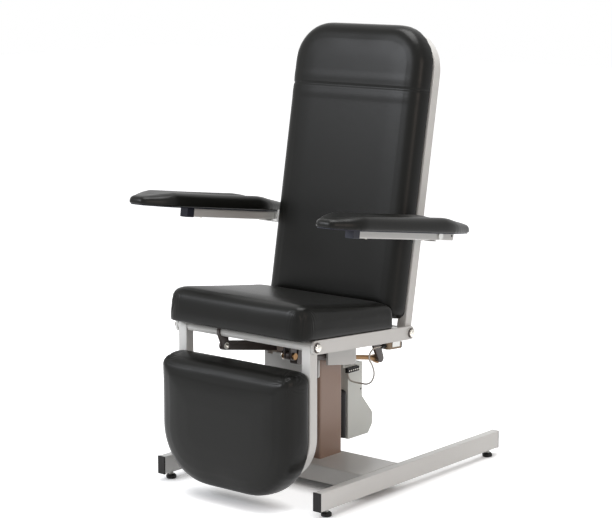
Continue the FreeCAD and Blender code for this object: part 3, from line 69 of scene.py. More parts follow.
def srgb(code):
    """An sRGB hex colour as linear RGBA."""
    parts = [int(code[place:place + 2], 16) / 255 for place in (0, 2, 4)]
    linear = [part / 12.92 if part <= 0.04045 else ((part + 0.055) / 1.055) ** 2.4
              for part in parts]
    return (*linear, 1.0)


def add_node(tree, kind, inputs=None, **settings):
    """Add a shader node with its settings, socket values and links."""
    made = tree.nodes.new(kind)
    for name, value in settings.items():
        setattr(made, name, value)
    for name, value in (inputs or {}).items():
        if isinstance(value, bpy.types.NodeSocket):
            tree.links.new(value, made.inputs[name])
        else:
            made.inputs[name].default_value = value
    return made


def finish_material(name):
    """A new material with its output, and Object coordinates to draw its patterns on."""
    made = bpy.data.materials.new(name)
    made.use_nodes = True
    made.node_tree.nodes.clear()
    output = add_node(made.node_tree, "ShaderNodeOutputMaterial")
    coords = add_node(made.node_tree, "ShaderNodeTexCoord").outputs["Object"]
    return made, made.node_tree, output, coords


def plastic(name, dark, light, roughness, grain, depth, mottle=9.0):
    """A moulded plastic: a fine moulded grain under a slightly uneven colour."""
    made, tree, output, coords = finish_material(name)
    cloud = add_node(tree, "ShaderNodeTexNoise", {"Vector": coords, "Scale": mottle, "Detail": 4.0})
    tint = add_node(tree, "ShaderNodeMix", {"Factor": cloud.outputs["Fac"]}, data_type="RGBA")
    tint.inputs["A"].default_value = srgb(dark)
    tint.inputs["B"].default_value = srgb(light)
    speck = add_node(tree, "ShaderNodeTexNoise", {"Vector": coords, "Scale": grain, "Detail": 3.0})
    bump = add_node(tree, "ShaderNodeBump", {"Height": speck.outputs["Fac"], "Strength": depth,
                                             "Distance": 0.0004})
    shader = add_node(tree, "ShaderNodeBsdfPrincipled", {
        "Base Color": tint.outputs["Result"], "Normal": bump.outputs["Normal"],
        "Roughness": roughness, "IOR": 1.36})
    tree.links.new(shader.outputs["BSDF"], output.inputs["Surface"])
    return made


cable_pvc = plastic("extruded_pvc_sheath_grey", "a9a39b", "bdb7ae", 0.45, 900.0, 0.15, 40.0)
cable_curve = bpy.data.curves.new("control_cable_run", "CURVE")
cable_curve.dimensions = "3D"
cable_line = cable_curve.splines.new("NURBS")
cable_line.points.add(len(CABLE_ROUTE) - 1)
for point, (x, y, z) in zip(cable_line.points, CABLE_ROUTE):
    point.co = (x * MM, y * MM, z * MM, 1.0)
cable_line.order_u = 3
cable_line.use_endpoint_u = True
cable_line.resolution_u = 12
cable_curve.bevel_depth = CABLE_DIAMETER / 2
cable_curve.bevel_resolution = 5
cable_curve.use_fill_caps = True
cable = bpy.data.objects.new("control_cable_run", cable_curve)
bpy.context.collection.objects.link(cable)
cable.data.materials.append(cable_pvc)
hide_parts("control_cable")
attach(cable, "carriage")


# Base frame
# Rectangular steel runners and crossbeam, welded and powder coated warm grey. The coat gives a
# satin sheen with a slight orange-peel texture.
def powder_coat(name, dark, light, roughness):
    """Baked powder: uneven colour in wide patches under a fine, pebbled gloss."""
    made, tree, output, coords = finish_material(name)
    cloud = add_node(tree, "ShaderNodeTexNoise", {"Vector": coords, "Scale": 5.0, "Detail": 5.0})
    tint = add_node(tree, "ShaderNodeMix", {"Factor": cloud.outputs["Fac"]}, data_type="RGBA")
    tint.inputs["A"].default_value = srgb(dark)
    tint.inputs["B"].default_value = srgb(light)
    peel = add_node(tree, "ShaderNodeTexNoise", {"Vector": coords, "Scale": 260.0, "Detail": 2.0})
    bump = add_node(tree, "ShaderNodeBump", {"Height": peel.outputs["Fac"], "Strength": 0.06,
                                             "Distance": 0.0004})
    smear = add_node(tree, "ShaderNodeTexNoise", {"Vector": coords, "Scale": 22.0, "Detail": 3.0})
    gloss = add_node(tree, "ShaderNodeMapRange", {"Value": smear.outputs["Fac"],
                                                  "To Min": roughness - 0.02,
                                                  "To Max": roughness + 0.03})
    shader = add_node(tree, "ShaderNodeBsdfPrincipled", {
        "Base Color": tint.outputs["Result"], "Normal": bump.outputs["Normal"],
        "Roughness": gloss.outputs["Result"], "IOR": 1.5, "Coat Weight": 0.15,
        "Coat Roughness": 0.2})
    tree.links.new(shader.outputs["BSDF"], output.inputs["Surface"])
    return made


def coat(material, *names):
    """Give a material to carried-over CAD pieces."""
    for name in names:
        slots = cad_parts[name].data.materials
        slots.clear()
        slots.append(material)


grey_coat = powder_coat("powder_coated_steel_warm_grey", "cdccc8", "d6d5d2", 0.36)
# The column has the frame's grey coat painted darker and warmer: painted shade under the seat and a
# painted warm reflection.
painted_shade_coat = powder_coat("powder_coated_steel_grey_painted_shade", "8c7161", "957a69", 0.34)
coat(painted_shade_coat, "column_outer", "column_inner")
coat(grey_coat, "runner_left", "runner_right", "crossbeam", "carriage",
     "seat_subframe", "side_rail_left", "side_rail_right", "leg_frame", "leg_cross_tube",
     "back_frame", "back_pivot_shaft", "arm_tube_left", "arm_tube_right")

# End caps and feet
# Push-in caps moulded from black polyethylene, and levelling feet with a black moulded pad on a
# threaded zinc-plated stem.
black_pe = plastic("moulded_polyethylene_black", "090707", "0e0b0b", 0.5, 700.0, 0.2)
coat(black_pe, "runner_end_caps", "column_glides", "terminal_block", "hand_control_boot",
     "foot_front_left", "foot_front_right", "foot_rear_left", "foot_rear_right")


def metal(name, code, roughness):
    """A bare or plated metal with fine working marks."""
    made, tree, output, coords = finish_material(name)
    grain = add_node(tree, "ShaderNodeTexNoise", {"Vector": coords, "Scale": 180.0,
                                                  "Detail": 4.0})
    gloss = add_node(tree, "ShaderNodeMapRange", {"Value": grain.outputs["Fac"],
                                                  "To Min": roughness - 0.05,
                                                  "To Max": roughness + 0.10})
    bump = add_node(tree, "ShaderNodeBump", {"Height": grain.outputs["Fac"], "Strength": 0.08,
                                             "Distance": 0.0003})
    shader = add_node(tree, "ShaderNodeBsdfPrincipled", {
        "Base Color": srgb(code), "Normal": bump.outputs["Normal"],
        "Roughness": gloss.outputs["Result"], "Metallic": 1.0})
    tree.links.new(shader.outputs["BSDF"], output.inputs["Surface"])
    return made


def settle(made, place, material, rounding=0.0):
    """Round a piece's edges, put its place into its mesh and give it its finish."""
    if rounding:
        rounded = made.modifiers.new("rounded_edges", "BEVEL")
        rounded.width = rounding * MM
        rounded.segments = 3
        rounded.limit_method = "ANGLE"
        bpy.ops.object.modifier_apply(modifier=rounded.name)
    made.data.transform(place @ made.matrix_basis)
    made.matrix_basis = Matrix.Identity(4)
    bpy.ops.object.shade_smooth_by_angle(angle=math.radians(40))
    made.data.materials.clear()
    made.data.materials.append(material)
    return made


def name_piece(name):
    """Name the active object and its mesh."""
    made = bpy.context.active_object
    made.name = name
    made.data.name = name
    return made


def turned_piece(name, rings, material, place, rounding=0.0, sides=40):
    """A round piece built up from its foot: each ring is (radius, height) in millimetres."""
    (foot, base), (radius, top) = rings[:2]
    bpy.ops.object.select_all(action="DESELECT")
    bpy.ops.mesh.primitive_cylinder_add(vertices=sides, radius=foot * MM, depth=(top - base) * MM,
                                        location=(0, 0, (base + top) / 2 * MM))
    made = name_piece(name)
    bpy.ops.object.mode_set(mode="EDIT")
    bpy.ops.mesh.select_mode(type="FACE")
    bpy.ops.mesh.select_all(action="DESELECT")
    shape = bmesh.from_edit_mesh(made.data)
    for face in shape.faces:
        face.select_set(face.normal.z > 0.9)
    bmesh.update_edit_mesh(made.data)
    bpy.ops.transform.resize(value=(radius / foot, radius / foot, 1), center_override=(0, 0, 0))
    for wide, high in rings[2:]:
        bpy.ops.mesh.extrude_region_move(
            TRANSFORM_OT_translate={"value": (0, 0, (high - top) * MM)})
        bpy.ops.transform.resize(value=(wide / radius, wide / radius, 1),
                                 center_override=(0, 0, 0))
        radius, top = wide, high
    bpy.ops.object.mode_set(mode="OBJECT")
    return settle(made, place, material, rounding)


def dome(radius, base, rise, steps=7):
    """Rings of a domed top, from its rim to near its crown."""
    turns = [math.radians(84 * step / steps) for step in range(steps + 1)]
    return [(radius * math.cos(turn), base + rise * math.sin(turn)) for turn in turns]


zinc_plate = metal("zinc_plated_steel", "c9c9c6", 0.28)
STEM_FOOT = 11.6
STEM_TOP = 19.5
THREAD_PITCH = 1.58
THREAD_ROOT = 5.25
THREAD_CREST = 5.8
FOOT_SIDE = 279.3
FRONT_FOOT = -338.5
REAR_FOOT = 408.5
thread_steps = int((STEM_TOP - STEM_FOOT) / (THREAD_PITCH / 2)) + 1
stem_rings = [(THREAD_ROOT if step % 2 else THREAD_CREST, STEM_FOOT + step * THREAD_PITCH / 2)
              for step in range(thread_steps)]
for side, x in (("left", FOOT_SIDE), ("right", -FOOT_SIDE)):
    for end, y in (("front", FRONT_FOOT), ("rear", REAR_FOOT)):
        stem = turned_piece(f"foot_{end}_{side}_stem", stem_rings, zinc_plate,
                            Matrix.Translation((x * MM, y * MM, 0)))
        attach(stem, f"foot_{end}_{side}")

# Drives and fittings
# The drives have painted die castings round black-oxide steel, a drawn aluminium tube and a bronze
# screw rod. The hand control and the plugs and boards of the arms are moulded ABS.
bronze = metal("bronze_screw_rod", "8a6c4c", 0.35)
aluminium = metal("drawn_aluminium_tube", "c4c6c8", 0.32)
# Near-black steel: the real finish of the drive link, anchor, actuator and motor, and painted shade
# on the pivot cups, levers and lug.
black_oxide_and_painted_shade_coat = powder_coat("black_oxide_steel_and_painted_shade", "3b3230", "463c39", 0.42)
casting = powder_coat("painted_die_casting_grey", "d2d5cf", "dadcd7", 0.42)
nylon = plastic("turned_nylon_white", "dcdcd6", "e8e8e2", 0.35, 500.0, 0.1)
beige_abs = plastic("moulded_abs_beige_brown", "85745f", "927f69", 0.42, 800.0, 0.25)
grey_button = plastic("moulded_abs_dark_grey", "303033", "3a3a3d", 0.4, 800.0, 0.2)
navy_abs = plastic("moulded_abs_navy_black", "20212c", "282a36", 0.45, 700.0, 0.25)
coat(zinc_plate, "pivot_bolts", "lift_rod", "link_pin_front", "lever_pins", "hand_control_clip",
     "arm_pivot_bolts")
coat(aluminium, "lift_actuator_tube")
coat(bronze, "recline_rod", "recline_anchor_pin")
coat(black_oxide_and_painted_shade_coat, "drive_link", "recline_anchor", "recline_actuator", "lift_motor")
coat(casting, "lift_gear_head", "lift_motor_housing", "lift_motor_cover")
coat(nylon, "pivot_washers")
coat(beige_abs, "hand_control")
coat(grey_button, "button_up", "button_down", "button_recline", "button_raise")
coat(navy_abs, "arm_plug_left", "arm_plug_right", "arm_board_left", "arm_board_right")


# Pivots and levers
# Nickel-plated domed bolts over cup washers at the four pivots, and the levers and lug of the drive
# link, each cut from flat bar with round ends. The cups, levers and lug are near black: painted
# shade.
SEAT_TILT = 3.79
LEG_PIVOT = Vector((0, -0.3355, 0.4448))
PIVOT_SPAN = 0.4103
seat_frame = Matrix.Translation(LEG_PIVOT) @ Matrix.Rotation(math.radians(-SEAT_TILT), 4, "X")
back_pivot = seat_frame @ Vector((0, PIVOT_SPAN, 0))
nickel = metal("nickel_plated_steel", "dcd8d0", 0.16)


def sideways(x, y, z, side=1):
    """A place on the object, in metres, with the piece's own +Z turned outwards along X."""
    return Matrix.Translation((x, y, z)) @ Matrix.Rotation(math.radians(90 * side), 4, "Y")


BOLT_FACE = 0.245
CUP_RINGS = [(13.6, 0.1), (13.6, 1.8), (12.9, 3.0), (11.6, 3.3), (10.9, 2.4)]
BOLT_RINGS = [(10.8, 1.5), (10.8, 5.4)] + dome(10.7, 5.5, 4.2)[1:]
for side, reach in (("left", 1), ("right", -1)):
    for end, y in (("front", 0.0), ("rear", PIVOT_SPAN)):
        place = seat_frame @ sideways(reach * BOLT_FACE, y, 0, reach)
        # The cup's near-black colour is painted shade.
        rim = turned_piece(f"pivot_cup_{end}_{side}", CUP_RINGS, black_oxide_and_painted_shade_coat, place)
        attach(rim, "carriage")
        cap = turned_piece(f"pivot_dome_{end}_{side}", BOLT_RINGS, nickel, place)
        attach(cap, "carriage")


LEVER_THICK = 8.6
LEVER_ROUNDING = 0.8


def flat_lever(name, ends, start, end, x):
    """A flat bar with round ends, from one (y, z) place to another, in millimetres."""
    root, tip = ends
    run = Vector((0, end[0] - start[0], end[1] - start[1]))
    bpy.ops.object.select_all(action="DESELECT")
    bpy.ops.mesh.primitive_cylinder_add(vertices=48, radius=root * MM,
                                        depth=LEVER_THICK * MM,
                                        location=(0, 0, LEVER_THICK / 2 * MM))
    made = name_piece(name)
    bpy.ops.object.mode_set(mode="EDIT")
    bpy.ops.mesh.select_mode(type="VERT")
    bpy.ops.mesh.select_all(action="DESELECT")
    shape = bmesh.from_edit_mesh(made.data)
    for vertex in shape.verts:
        vertex.select_set(vertex.co.x > root * MM * 0.05)
    bmesh.update_edit_mesh(made.data)
    bpy.ops.transform.resize(value=(tip / root, tip / root, 1), center_override=(0, 0, 0))
    bpy.ops.transform.translate(value=(run.length * MM, 0, 0))
    bpy.ops.object.mode_set(mode="OBJECT")
    along = run.normalized()
    across = Vector((1, 0, 0)).cross(along)
    turn = Matrix(((along.x, across.x, 1), (along.y, across.y, 0), (along.z, across.z, 0)))
    place = Matrix.Translation((x * MM, start[0] * MM, start[1] * MM)) @ turn.to_4x4()
    # Painted shade: the levers and lug take a near-black colour for the shadow they sit in.
    made = settle(made, place, black_oxide_and_painted_shade_coat, LEVER_ROUNDING)
    return made


BACK_EYE = (73.9, 417.68)
LEG_EYE = (-335.5, 444.8)
RECLINE_PIN = (117.78, 318.67)
LINK_REAR_PIN = (85.59, 334.5)
LINK_FRONT_PIN = (-323.65, 403.47)
LEVER_ENDS = (20.3, 11.4)
LUG_ENDS = (18.3, 12.3)
RECLINE_SIDE = 101.9
LINK_SIDE = -90.1
LINK_PIN_SIDE = -81.6
ANCHOR_PIN = (72.6, -265, 391)
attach(flat_lever("recline_lever", LEVER_ENDS, BACK_EYE, RECLINE_PIN, RECLINE_SIDE), "back")
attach(flat_lever("link_lever", LEVER_ENDS, BACK_EYE, LINK_REAR_PIN, LINK_SIDE), "back")
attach(flat_lever("link_lug", LUG_ENDS, LEG_EYE, LINK_FRONT_PIN, LINK_SIDE), "leg_rest")
pin_place = sideways(LINK_PIN_SIDE * MM, LINK_FRONT_PIN[0] * MM, LINK_FRONT_PIN[1] * MM)
washer = turned_piece("link_pin_washer", [(9.5, 0), (9.5, 1.8)], nylon, pin_place, 0.4)
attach(washer, "leg_rest")
pin_head = turned_piece("link_pin_head", [(6.2, 1.7), (6.2, 4.2)] + dome(6.1, 4.3, 2.2)[1:],
                        nickel, pin_place)
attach(pin_head, "leg_rest")
nut_rings = [(5.0, -7.5), (5.0, 0.0), (12.2, 0.05), (12.2, 2.4), (7.5, 2.6), (7.5, 7.6), (4.0, 7.9)]
anchor_nut = turned_piece("anchor_pin_nut", nut_rings, nickel,
                          sideways(*(value * MM for value in ANCHOR_PIN)), 0.3)
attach(anchor_nut, "carriage")

# Lift drive fittings
# A row of nickel clamping screws in the terminal block, a small black disc in the housing's side
# and the black end of the lift motor beside the column. The disc is painted shade for a small hole.
TERMINALS = 6
TERMINAL_PITCH = 8.667
FIRST_TERMINAL = (62.2, 24.33, 293)
for number in range(TERMINALS):
    x, y, z = FIRST_TERMINAL
    screw = turned_piece(f"terminal_screw_{number + 1}", [(1.9, 0), (1.9, 7.4), (1.2, 7.9)],
                         nickel, sideways(x * MM, (y + TERMINAL_PITCH * number) * MM, z * MM),
                         sides=16)
    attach(screw, "carriage")
# Painted shade: a black disc standing for the dark of a small hole in the housing's side.
HOUSING_HOLE = (58, 91, 228)
housing_hole_shade = turned_piece("housing_hole_shade", [(2.6, -0.5), (2.6, 0.8), (1.8, 1.2)], black_pe,
                             sideways(*(value * MM for value in HOUSING_HOLE)), sides=20)
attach(housing_hole_shade, "carriage")
MOTOR_END = (46, 17, 0)
motor_rings = [(13.4, 100), (13.4, 226)] + dome(13.3, 226.5, 11)[1:]
motor_end = turned_piece("lift_motor_end", motor_rings, black_pe,
                         Matrix.Translation([value * MM for value in MOTOR_END]))
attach(motor_end, "carriage")


def block_piece(name, low, high, rounding, material, place):
    """A block between two corners, in millimetres, with rounded edges."""
    bpy.ops.object.select_all(action="DESELECT")
    middle = [(a + b) / 2 * MM for a, b in zip(low, high)]
    bpy.ops.mesh.primitive_cube_add(size=1, location=middle,
                                    scale=[(b - a) * MM for a, b in zip(low, high)])
    made = name_piece(name)
    bpy.ops.object.transform_apply(location=False, rotation=False, scale=True)
    return settle(made, place, material, rounding)


HAND_END = ((209.6, 374.2, -39.1), (240.4, 380.2, -20.5))
hand_end = block_piece("hand_control_end", *HAND_END, 3.0, black_pe, seat_frame)
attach(hand_end, "carriage")

# Boards
# Birch plywood panels under the cushions of the seat, leg rest and back, sawn to shape and stained
# black on their undersides and edges, with the long grain of the face veneer running across.
def plywood(name):
    """Stained veneer: dark streaks drawn out along the grain."""
    made, tree, output, coords = finish_material(name)
    grainwise = add_node(tree, "ShaderNodeMapping", {"Vector": coords, "Scale": (4.0, 60.0, 60.0)})
    grain = add_node(tree, "ShaderNodeTexNoise", {"Vector": grainwise.outputs["Vector"],
                                                  "Scale": 3.0, "Detail": 6.0, "Distortion": 0.4})
    tint = add_node(tree, "ShaderNodeMix", {"Factor": grain.outputs["Fac"]}, data_type="RGBA")
    tint.inputs["A"].default_value = srgb("221d19")
    tint.inputs["B"].default_value = srgb("3c342d")
    bump = add_node(tree, "ShaderNodeBump", {"Height": grain.outputs["Fac"], "Strength": 0.25,
                                             "Distance": 0.0005})
    shader = add_node(tree, "ShaderNodeBsdfPrincipled", {
        "Base Color": tint.outputs["Result"], "Normal": bump.outputs["Normal"],
        "Roughness": 0.6})
    tree.links.new(shader.outputs["BSDF"], output.inputs["Surface"])
    return made


stained_ply = plywood("black_stained_birch_plywood")
coat(stained_ply, "seat_board", "leg_board", "back_board")

# Seat cushion
# A block of polyurethane foam under charcoal vinyl-coated cloth, boxed at the sides and stapled
# under a plywood board. Soft edges, a slight crown and pleats at its corners.
def upholstery(name, dark, light):
    """Vinyl-coated cloth: a pebbled grain about 1.2 mm wide, drawn at 2.4 mm so that it shows."""
    made, tree, output, coords = finish_material(name)
    cloud = add_node(tree, "ShaderNodeTexNoise", {"Vector": coords, "Scale": 7.0, "Detail": 5.0})
    tint = add_node(tree, "ShaderNodeMix", {"Factor": cloud.outputs["Fac"]}, data_type="RGBA")
    tint.inputs["A"].default_value = srgb(dark)
    tint.inputs["B"].default_value = srgb(light)
    pebble = add_node(tree, "ShaderNodeTexVoronoi", {"Vector": coords, "Scale": 420.0},
                      feature="DISTANCE_TO_EDGE")
    crease = add_node(tree, "ShaderNodeTexNoise", {"Vector": coords, "Scale": 90.0, "Detail": 4.0})
    grain = add_node(tree, "ShaderNodeMath", {0: pebble.outputs["Distance"],
                                              1: crease.outputs["Fac"]}, operation="ADD")
    bump = add_node(tree, "ShaderNodeBump", {"Height": grain.outputs["Value"], "Strength": 0.16,
                                             "Distance": 0.0006})
    gloss = add_node(tree, "ShaderNodeMapRange", {"Value": cloud.outputs["Fac"],
                                                  "To Min": 0.30, "To Max": 0.36})
    shader = add_node(tree, "ShaderNodeBsdfPrincipled", {
        "Base Color": tint.outputs["Result"], "Normal": bump.outputs["Normal"],
        "Roughness": gloss.outputs["Result"], "IOR": 1.28})
    tree.links.new(shader.outputs["BSDF"], output.inputs["Surface"])
    return made


charcoal_vinyl = upholstery("coated_vinyl_cloth_charcoal", "0d0d0b", "11110f")
ARC_STEPS = 10


def rounded_outline(corners):
    """Points round an outline of (x, y, corner radius) corners."""
    points = []
    for index, (x, y, radius) in enumerate(corners):
        here = Vector((x, y))
        back = (Vector(corners[index - 1][:2]) - here).normalized()
        ahead = (Vector(corners[(index + 1) % len(corners)][:2]) - here).normalized()
        half = back.angle(ahead) / 2
        centre = here + (back + ahead).normalized() * (radius / math.sin(half))
        first = here + back * (radius / math.tan(half)) - centre
        turn = math.pi - 2 * half
        for step in range(ARC_STEPS + 1):
            spot = first.copy()
            spot.rotate(Matrix.Rotation(turn * step / ARC_STEPS, 2))
            points.append(centre + spot)
    return points


def draw_in(corners, inset):
    """Move the sides of an outline inwards and tighten its corners."""
    moved = []
    for index, (x, y, radius) in enumerate(corners):
        here = Vector((x, y))
        back = (Vector(corners[index - 1][:2]) - here).normalized()
        ahead = (Vector(corners[(index + 1) % len(corners)][:2]) - here).normalized()
        half = back.angle(ahead) / 2
        spot = here + (back + ahead).normalized() * (inset / math.sin(half))
        moved.append((spot.x, spot.y, max(radius - inset, 2.0)))
    return moved


def ease(share):
    """A smooth rise from 0 to 1."""
    share = min(max(share, 0.0), 1.0)
    return share * share * (3 - 2 * share)


SEAM_REACH = 5.0
SEAM_DEPTH = 2.2
PUFF_REACH = 44.0
PUFF_RISE = 0.6
PLEAT_REACH = 46.0
PLEAT_DEPTH = 1.5
PLEAT_WIDTH = 8.0


def sew(mesh, profile, seam, pleats):
    """Draw the cover in along a seam, let it swell beside it, and gather it round each corner."""
    floor, roof = profile[0][1], profile[-1][1]
    moves = []
    for vertex in mesh.vertices:
        x, y, z = (value / MM for value in vertex.co)
        move = 0.0
        height = (z - floor) / (roof - floor)
        if seam:
            off = abs(y - seam)
            if off < SEAM_REACH:
                move -= SEAM_DEPTH * (1 - (off / SEAM_REACH) ** 2) ** 2
            elif off < PUFF_REACH:
                across = (off - SEAM_REACH) / (PUFF_REACH - SEAM_REACH)
                move += PUFF_RISE * math.sin(math.pi * across) ** 2
            move *= ease(height * 4)
        for corner_x, corner_y in pleats:
            away = math.hypot(x - corner_x, y - corner_y)
            if away < PLEAT_REACH and vertex.normal.z < 0.85:
                fade = (ease(1.6 * (1 - away / PLEAT_REACH)) * ease(height * 2.2)
                        * ease((1 - height) * 9))
                around = math.atan2(y - corner_y, x - corner_x) * PLEAT_REACH
                gather = 0.5 + 0.5 * math.cos(math.tau * around / PLEAT_WIDTH)
                move -= PLEAT_DEPTH * fade * gather
        moves.append(vertex.normal * (move * MM))
    for vertex, move in zip(mesh.vertices, moves):
        vertex.co += move


TAUT_STEPS = 60
FINEST_MOVE = 0.001


def pull_taut(mesh, moves, free):
    """Even the simulated moves out over their neighbours, as a stretched cover has no creases."""
    ends = numpy.array([edge.vertices[:] for edge in mesh.edges])
    share = numpy.bincount(ends.ravel(), minlength=len(moves))[:, None]
    for step in range(TAUT_STEPS):
        total = numpy.zeros_like(moves)
        numpy.add.at(total, ends[:, 0], moves[ends[:, 1]])
        numpy.add.at(total, ends[:, 1], moves[ends[:, 0]])
        moves = (moves + total / share) / 2 * free[:, None]
    return moves


AIR_PRESSURE = 4.0
CLOTH_FRAMES = 20


def foam_block(name, corners, profile, bed, place, cap=4.0, voxel=5.0, wedge=0.0, thin_ends=(),
               seam=None, pleats=()):
    """Cut foam to an outline, round it by (inset, height) steps, blow it up and fix it in place.

    The cover is stapled up to the bed's height, and no point of it moves further than the cap.
    Each thin end is (y where it starts, y at its tip, share of the height left there), a seam is
    the y of its stitching, and each pleat is the (x, y) of a gathered corner.
    """
    middle = sum(y for x, y, radius in corners) / len(corners)
    fall = math.tan(math.radians(wedge)) / profile[-1][1]

    def level(y, height):
        for begin, tip, left in thin_ends:
            if height > 0:
                height *= 1 - (1 - left) * ease((y - begin) / (tip - begin))
        return height - (y - middle) * height * fall

    rings = [[(p.x, p.y, level(p.y, height)) for p in rounded_outline(draw_in(corners, inset))]
             for inset, height in profile]
    count = len(rings[0])
    points = [point for ring in rings for point in ring]
    faces = [tuple(reversed(range(count)))]
    for ring in range(len(rings) - 1):
        low = ring * count
        for step in range(count):
            following = (step + 1) % count
            faces.append((low + step, low + following, low + count + following, low + count + step))
    faces.append(tuple(range((len(rings) - 1) * count, len(rings) * count)))
    mesh = bpy.data.meshes.new(name)
    mesh.from_pydata([(x * MM, y * MM, z * MM) for x, y, z in points], [], faces)
    made = bpy.data.objects.new(name, mesh)
    bpy.context.collection.objects.link(made)
    bpy.ops.object.select_all(action="DESELECT")
    made.select_set(True)
    bpy.context.view_layer.objects.active = made
    remesh = made.modifiers.new("foam_cells", "REMESH")
    remesh.mode = "VOXEL"
    remesh.voxel_size = voxel * MM
    bpy.ops.object.modifier_apply(modifier=remesh.name)
    start = numpy.array([vertex.co[:] for vertex in made.data.vertices])
    free = start[:, 2] >= (profile[0][1] + bed) * MM
    pins = made.vertex_groups.new(name="stapled")
    pins.add(numpy.flatnonzero(~free).tolist(), 1.0, "REPLACE")
    cloth = made.modifiers.new("cover", "CLOTH")
    cloth.settings.vertex_group_mass = pins.name
    cloth.settings.use_pressure = True
    cloth.settings.uniform_pressure_force = AIR_PRESSURE
    cloth.settings.effector_weights.gravity = 0.0
    cloth.settings.tension_stiffness = 12.0
    cloth.settings.compression_stiffness = 12.0
    cloth.settings.bending_stiffness = 4.0
    for number in range(1, CLOTH_FRAMES + 1):
        bpy.context.scene.frame_set(number)
    puffed = made.evaluated_get(bpy.context.evaluated_depsgraph_get()).data
    moves = numpy.array([vertex.co[:] for vertex in puffed.vertices]) - start
    made.modifiers.remove(cloth)
    bpy.context.scene.frame_set(1)
    spread = numpy.linalg.norm(moves, axis=1, keepdims=True)
    moves *= numpy.minimum(1.0, cap * MM / numpy.maximum(spread, FINEST_MOVE * MM))
    moves = pull_taut(made.data, moves, free)
    for vertex, spot in zip(made.data.vertices, start + moves):
        vertex.co = spot
    made.vertex_groups.clear()
    smooth = made.modifiers.new("relax", "SMOOTH")
    smooth.factor = 0.5
    smooth.iterations = 4
    bpy.ops.object.modifier_apply(modifier=smooth.name)
    finer = made.modifiers.new("finer", "SUBSURF")
    finer.levels = 1
    finer.render_levels = 1
    bpy.ops.object.modifier_apply(modifier=finer.name)
    if seam or pleats:
        sew(made.data, profile, seam, pleats)
    made.data.transform(place)
    for polygon in made.data.polygons:
        polygon.use_smooth = True
    made.data.materials.append(charcoal_vinyl)
    return made


SEAT_LIFT = 18.8
SEAT_WEDGE = 3.8
seat_corners = [(-244, -63, 42), (244, -63, 42), (244, 335, 14), (-244, 335, 14)]
seat_profile = [(0, 0), (-1, 24), (-1, 50), (1, 62), (6, 70), (14, 76), (30, 80), (80, 82.5),
                (130, 83.5)]
BED = 4
seat_cushion = foam_block("seat_cushion_cover", seat_corners, seat_profile, BED,
                          seat_frame @ Matrix.Translation((0, 0, SEAT_LIFT * MM)), wedge=SEAT_WEDGE,
                          pleats=((-222, -41), (222, -41)))
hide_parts("seat_cushion")
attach(seat_cushion, "carriage")

# Leg pad
# The same foam and vinyl on a board that hangs in front of the leg frame, with wide round lower
# corners.
STAND_UP = Matrix.Rotation(math.radians(90), 4, "X")
TUBE_FACE = 0.0153
leg_frame_place = Matrix.Translation((0, LEG_PIVOT.y - TUBE_FACE, 0)) @ STAND_UP
leg_corners = [(-235, 29, 162), (235, 29, 162), (235, 382, 30), (-235, 382, 30)]
leg_profile = [(4, 0), (0, 12), (-1, 30), (0, 48), (2, 61), (7, 73), (15, 81), (27, 86.5),
               (48, 90), (80, 92.5), (120, 94)]
leg_cushion = foam_block("leg_cushion_cover", leg_corners, leg_profile, BED, leg_frame_place,
                         pleats=((-218, 365), (218, 365)))
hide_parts("leg_cushion")
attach(leg_cushion, "leg_rest")

# Back pad
# A long foam pad on a board in front of the back frame, sewn across below the head.
BACK_LEAN = 10.2
back_frame = Matrix.Translation(back_pivot) @ Matrix.Rotation(math.radians(-BACK_LEAN), 4, "X")
back_place = back_frame @ Matrix.Translation((0, -TUBE_FACE, 0)) @ STAND_UP
back_corners = [(-232, 33, 28), (232, 33, 28), (232, 844, 115), (-232, 844, 115)]
back_profile = [(0, 0), (-1, 16), (-1, 28), (1, 38), (5, 46), (12, 53), (24, 58), (45, 60),
                (90, 61)]
HEAD_SEAM = 663.5
back_cushion = foam_block("back_cushion_cover", back_corners, back_profile, BED, back_place,
                          voxel=6.0, seam=HEAD_SEAM)
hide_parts("back_cushion")
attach(back_cushion, "back")

# Arm pads
# Tapered foam pads, thinner at both ends, whose vinyl is wrapped round the edges of their moulded
# boards. They lie on the arms, which rise a little towards the front.
ARM_HEIGHT = 0.2756
ARM_RISE = 8.0
ARM_SIDE = 0.329
ARM_TOP = 0.0208
arm_pivot = back_frame @ Vector((0, 0, ARM_HEIGHT))
arm_frame = Matrix.Translation(arm_pivot) @ Matrix.Rotation(math.radians(-ARM_RISE), 4, "X")
arm_corners = [(-26, -547, 25), (26, -547, 25), (68, -474, 110), (68, -58, 260), (29, 70, 28),
               (-29, 70, 28), (-68, -58, 260), (-68, -474, 110)]
arm_profile = [(2.5, -6.5), (-0.5, -5), (-0.5, 9), (0.5, 18), (3, 25), (8, 31), (15, 34),
               (25, 36)]
arm_ends = ((-390, -549, 0.52), (-140, 72, 0.52))
for side, reach in (("left", 1), ("right", -1)):
    arm_place = arm_frame @ Matrix.Translation((reach * ARM_SIDE, 0, ARM_TOP))
    pad = foam_block(f"arm_pad_{side}_cover", arm_corners, arm_profile, 3, arm_place, cap=2.0,
                     thin_ends=arm_ends)
    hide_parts(f"arm_pad_{side}")
    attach(pad, f"arm_{side}")

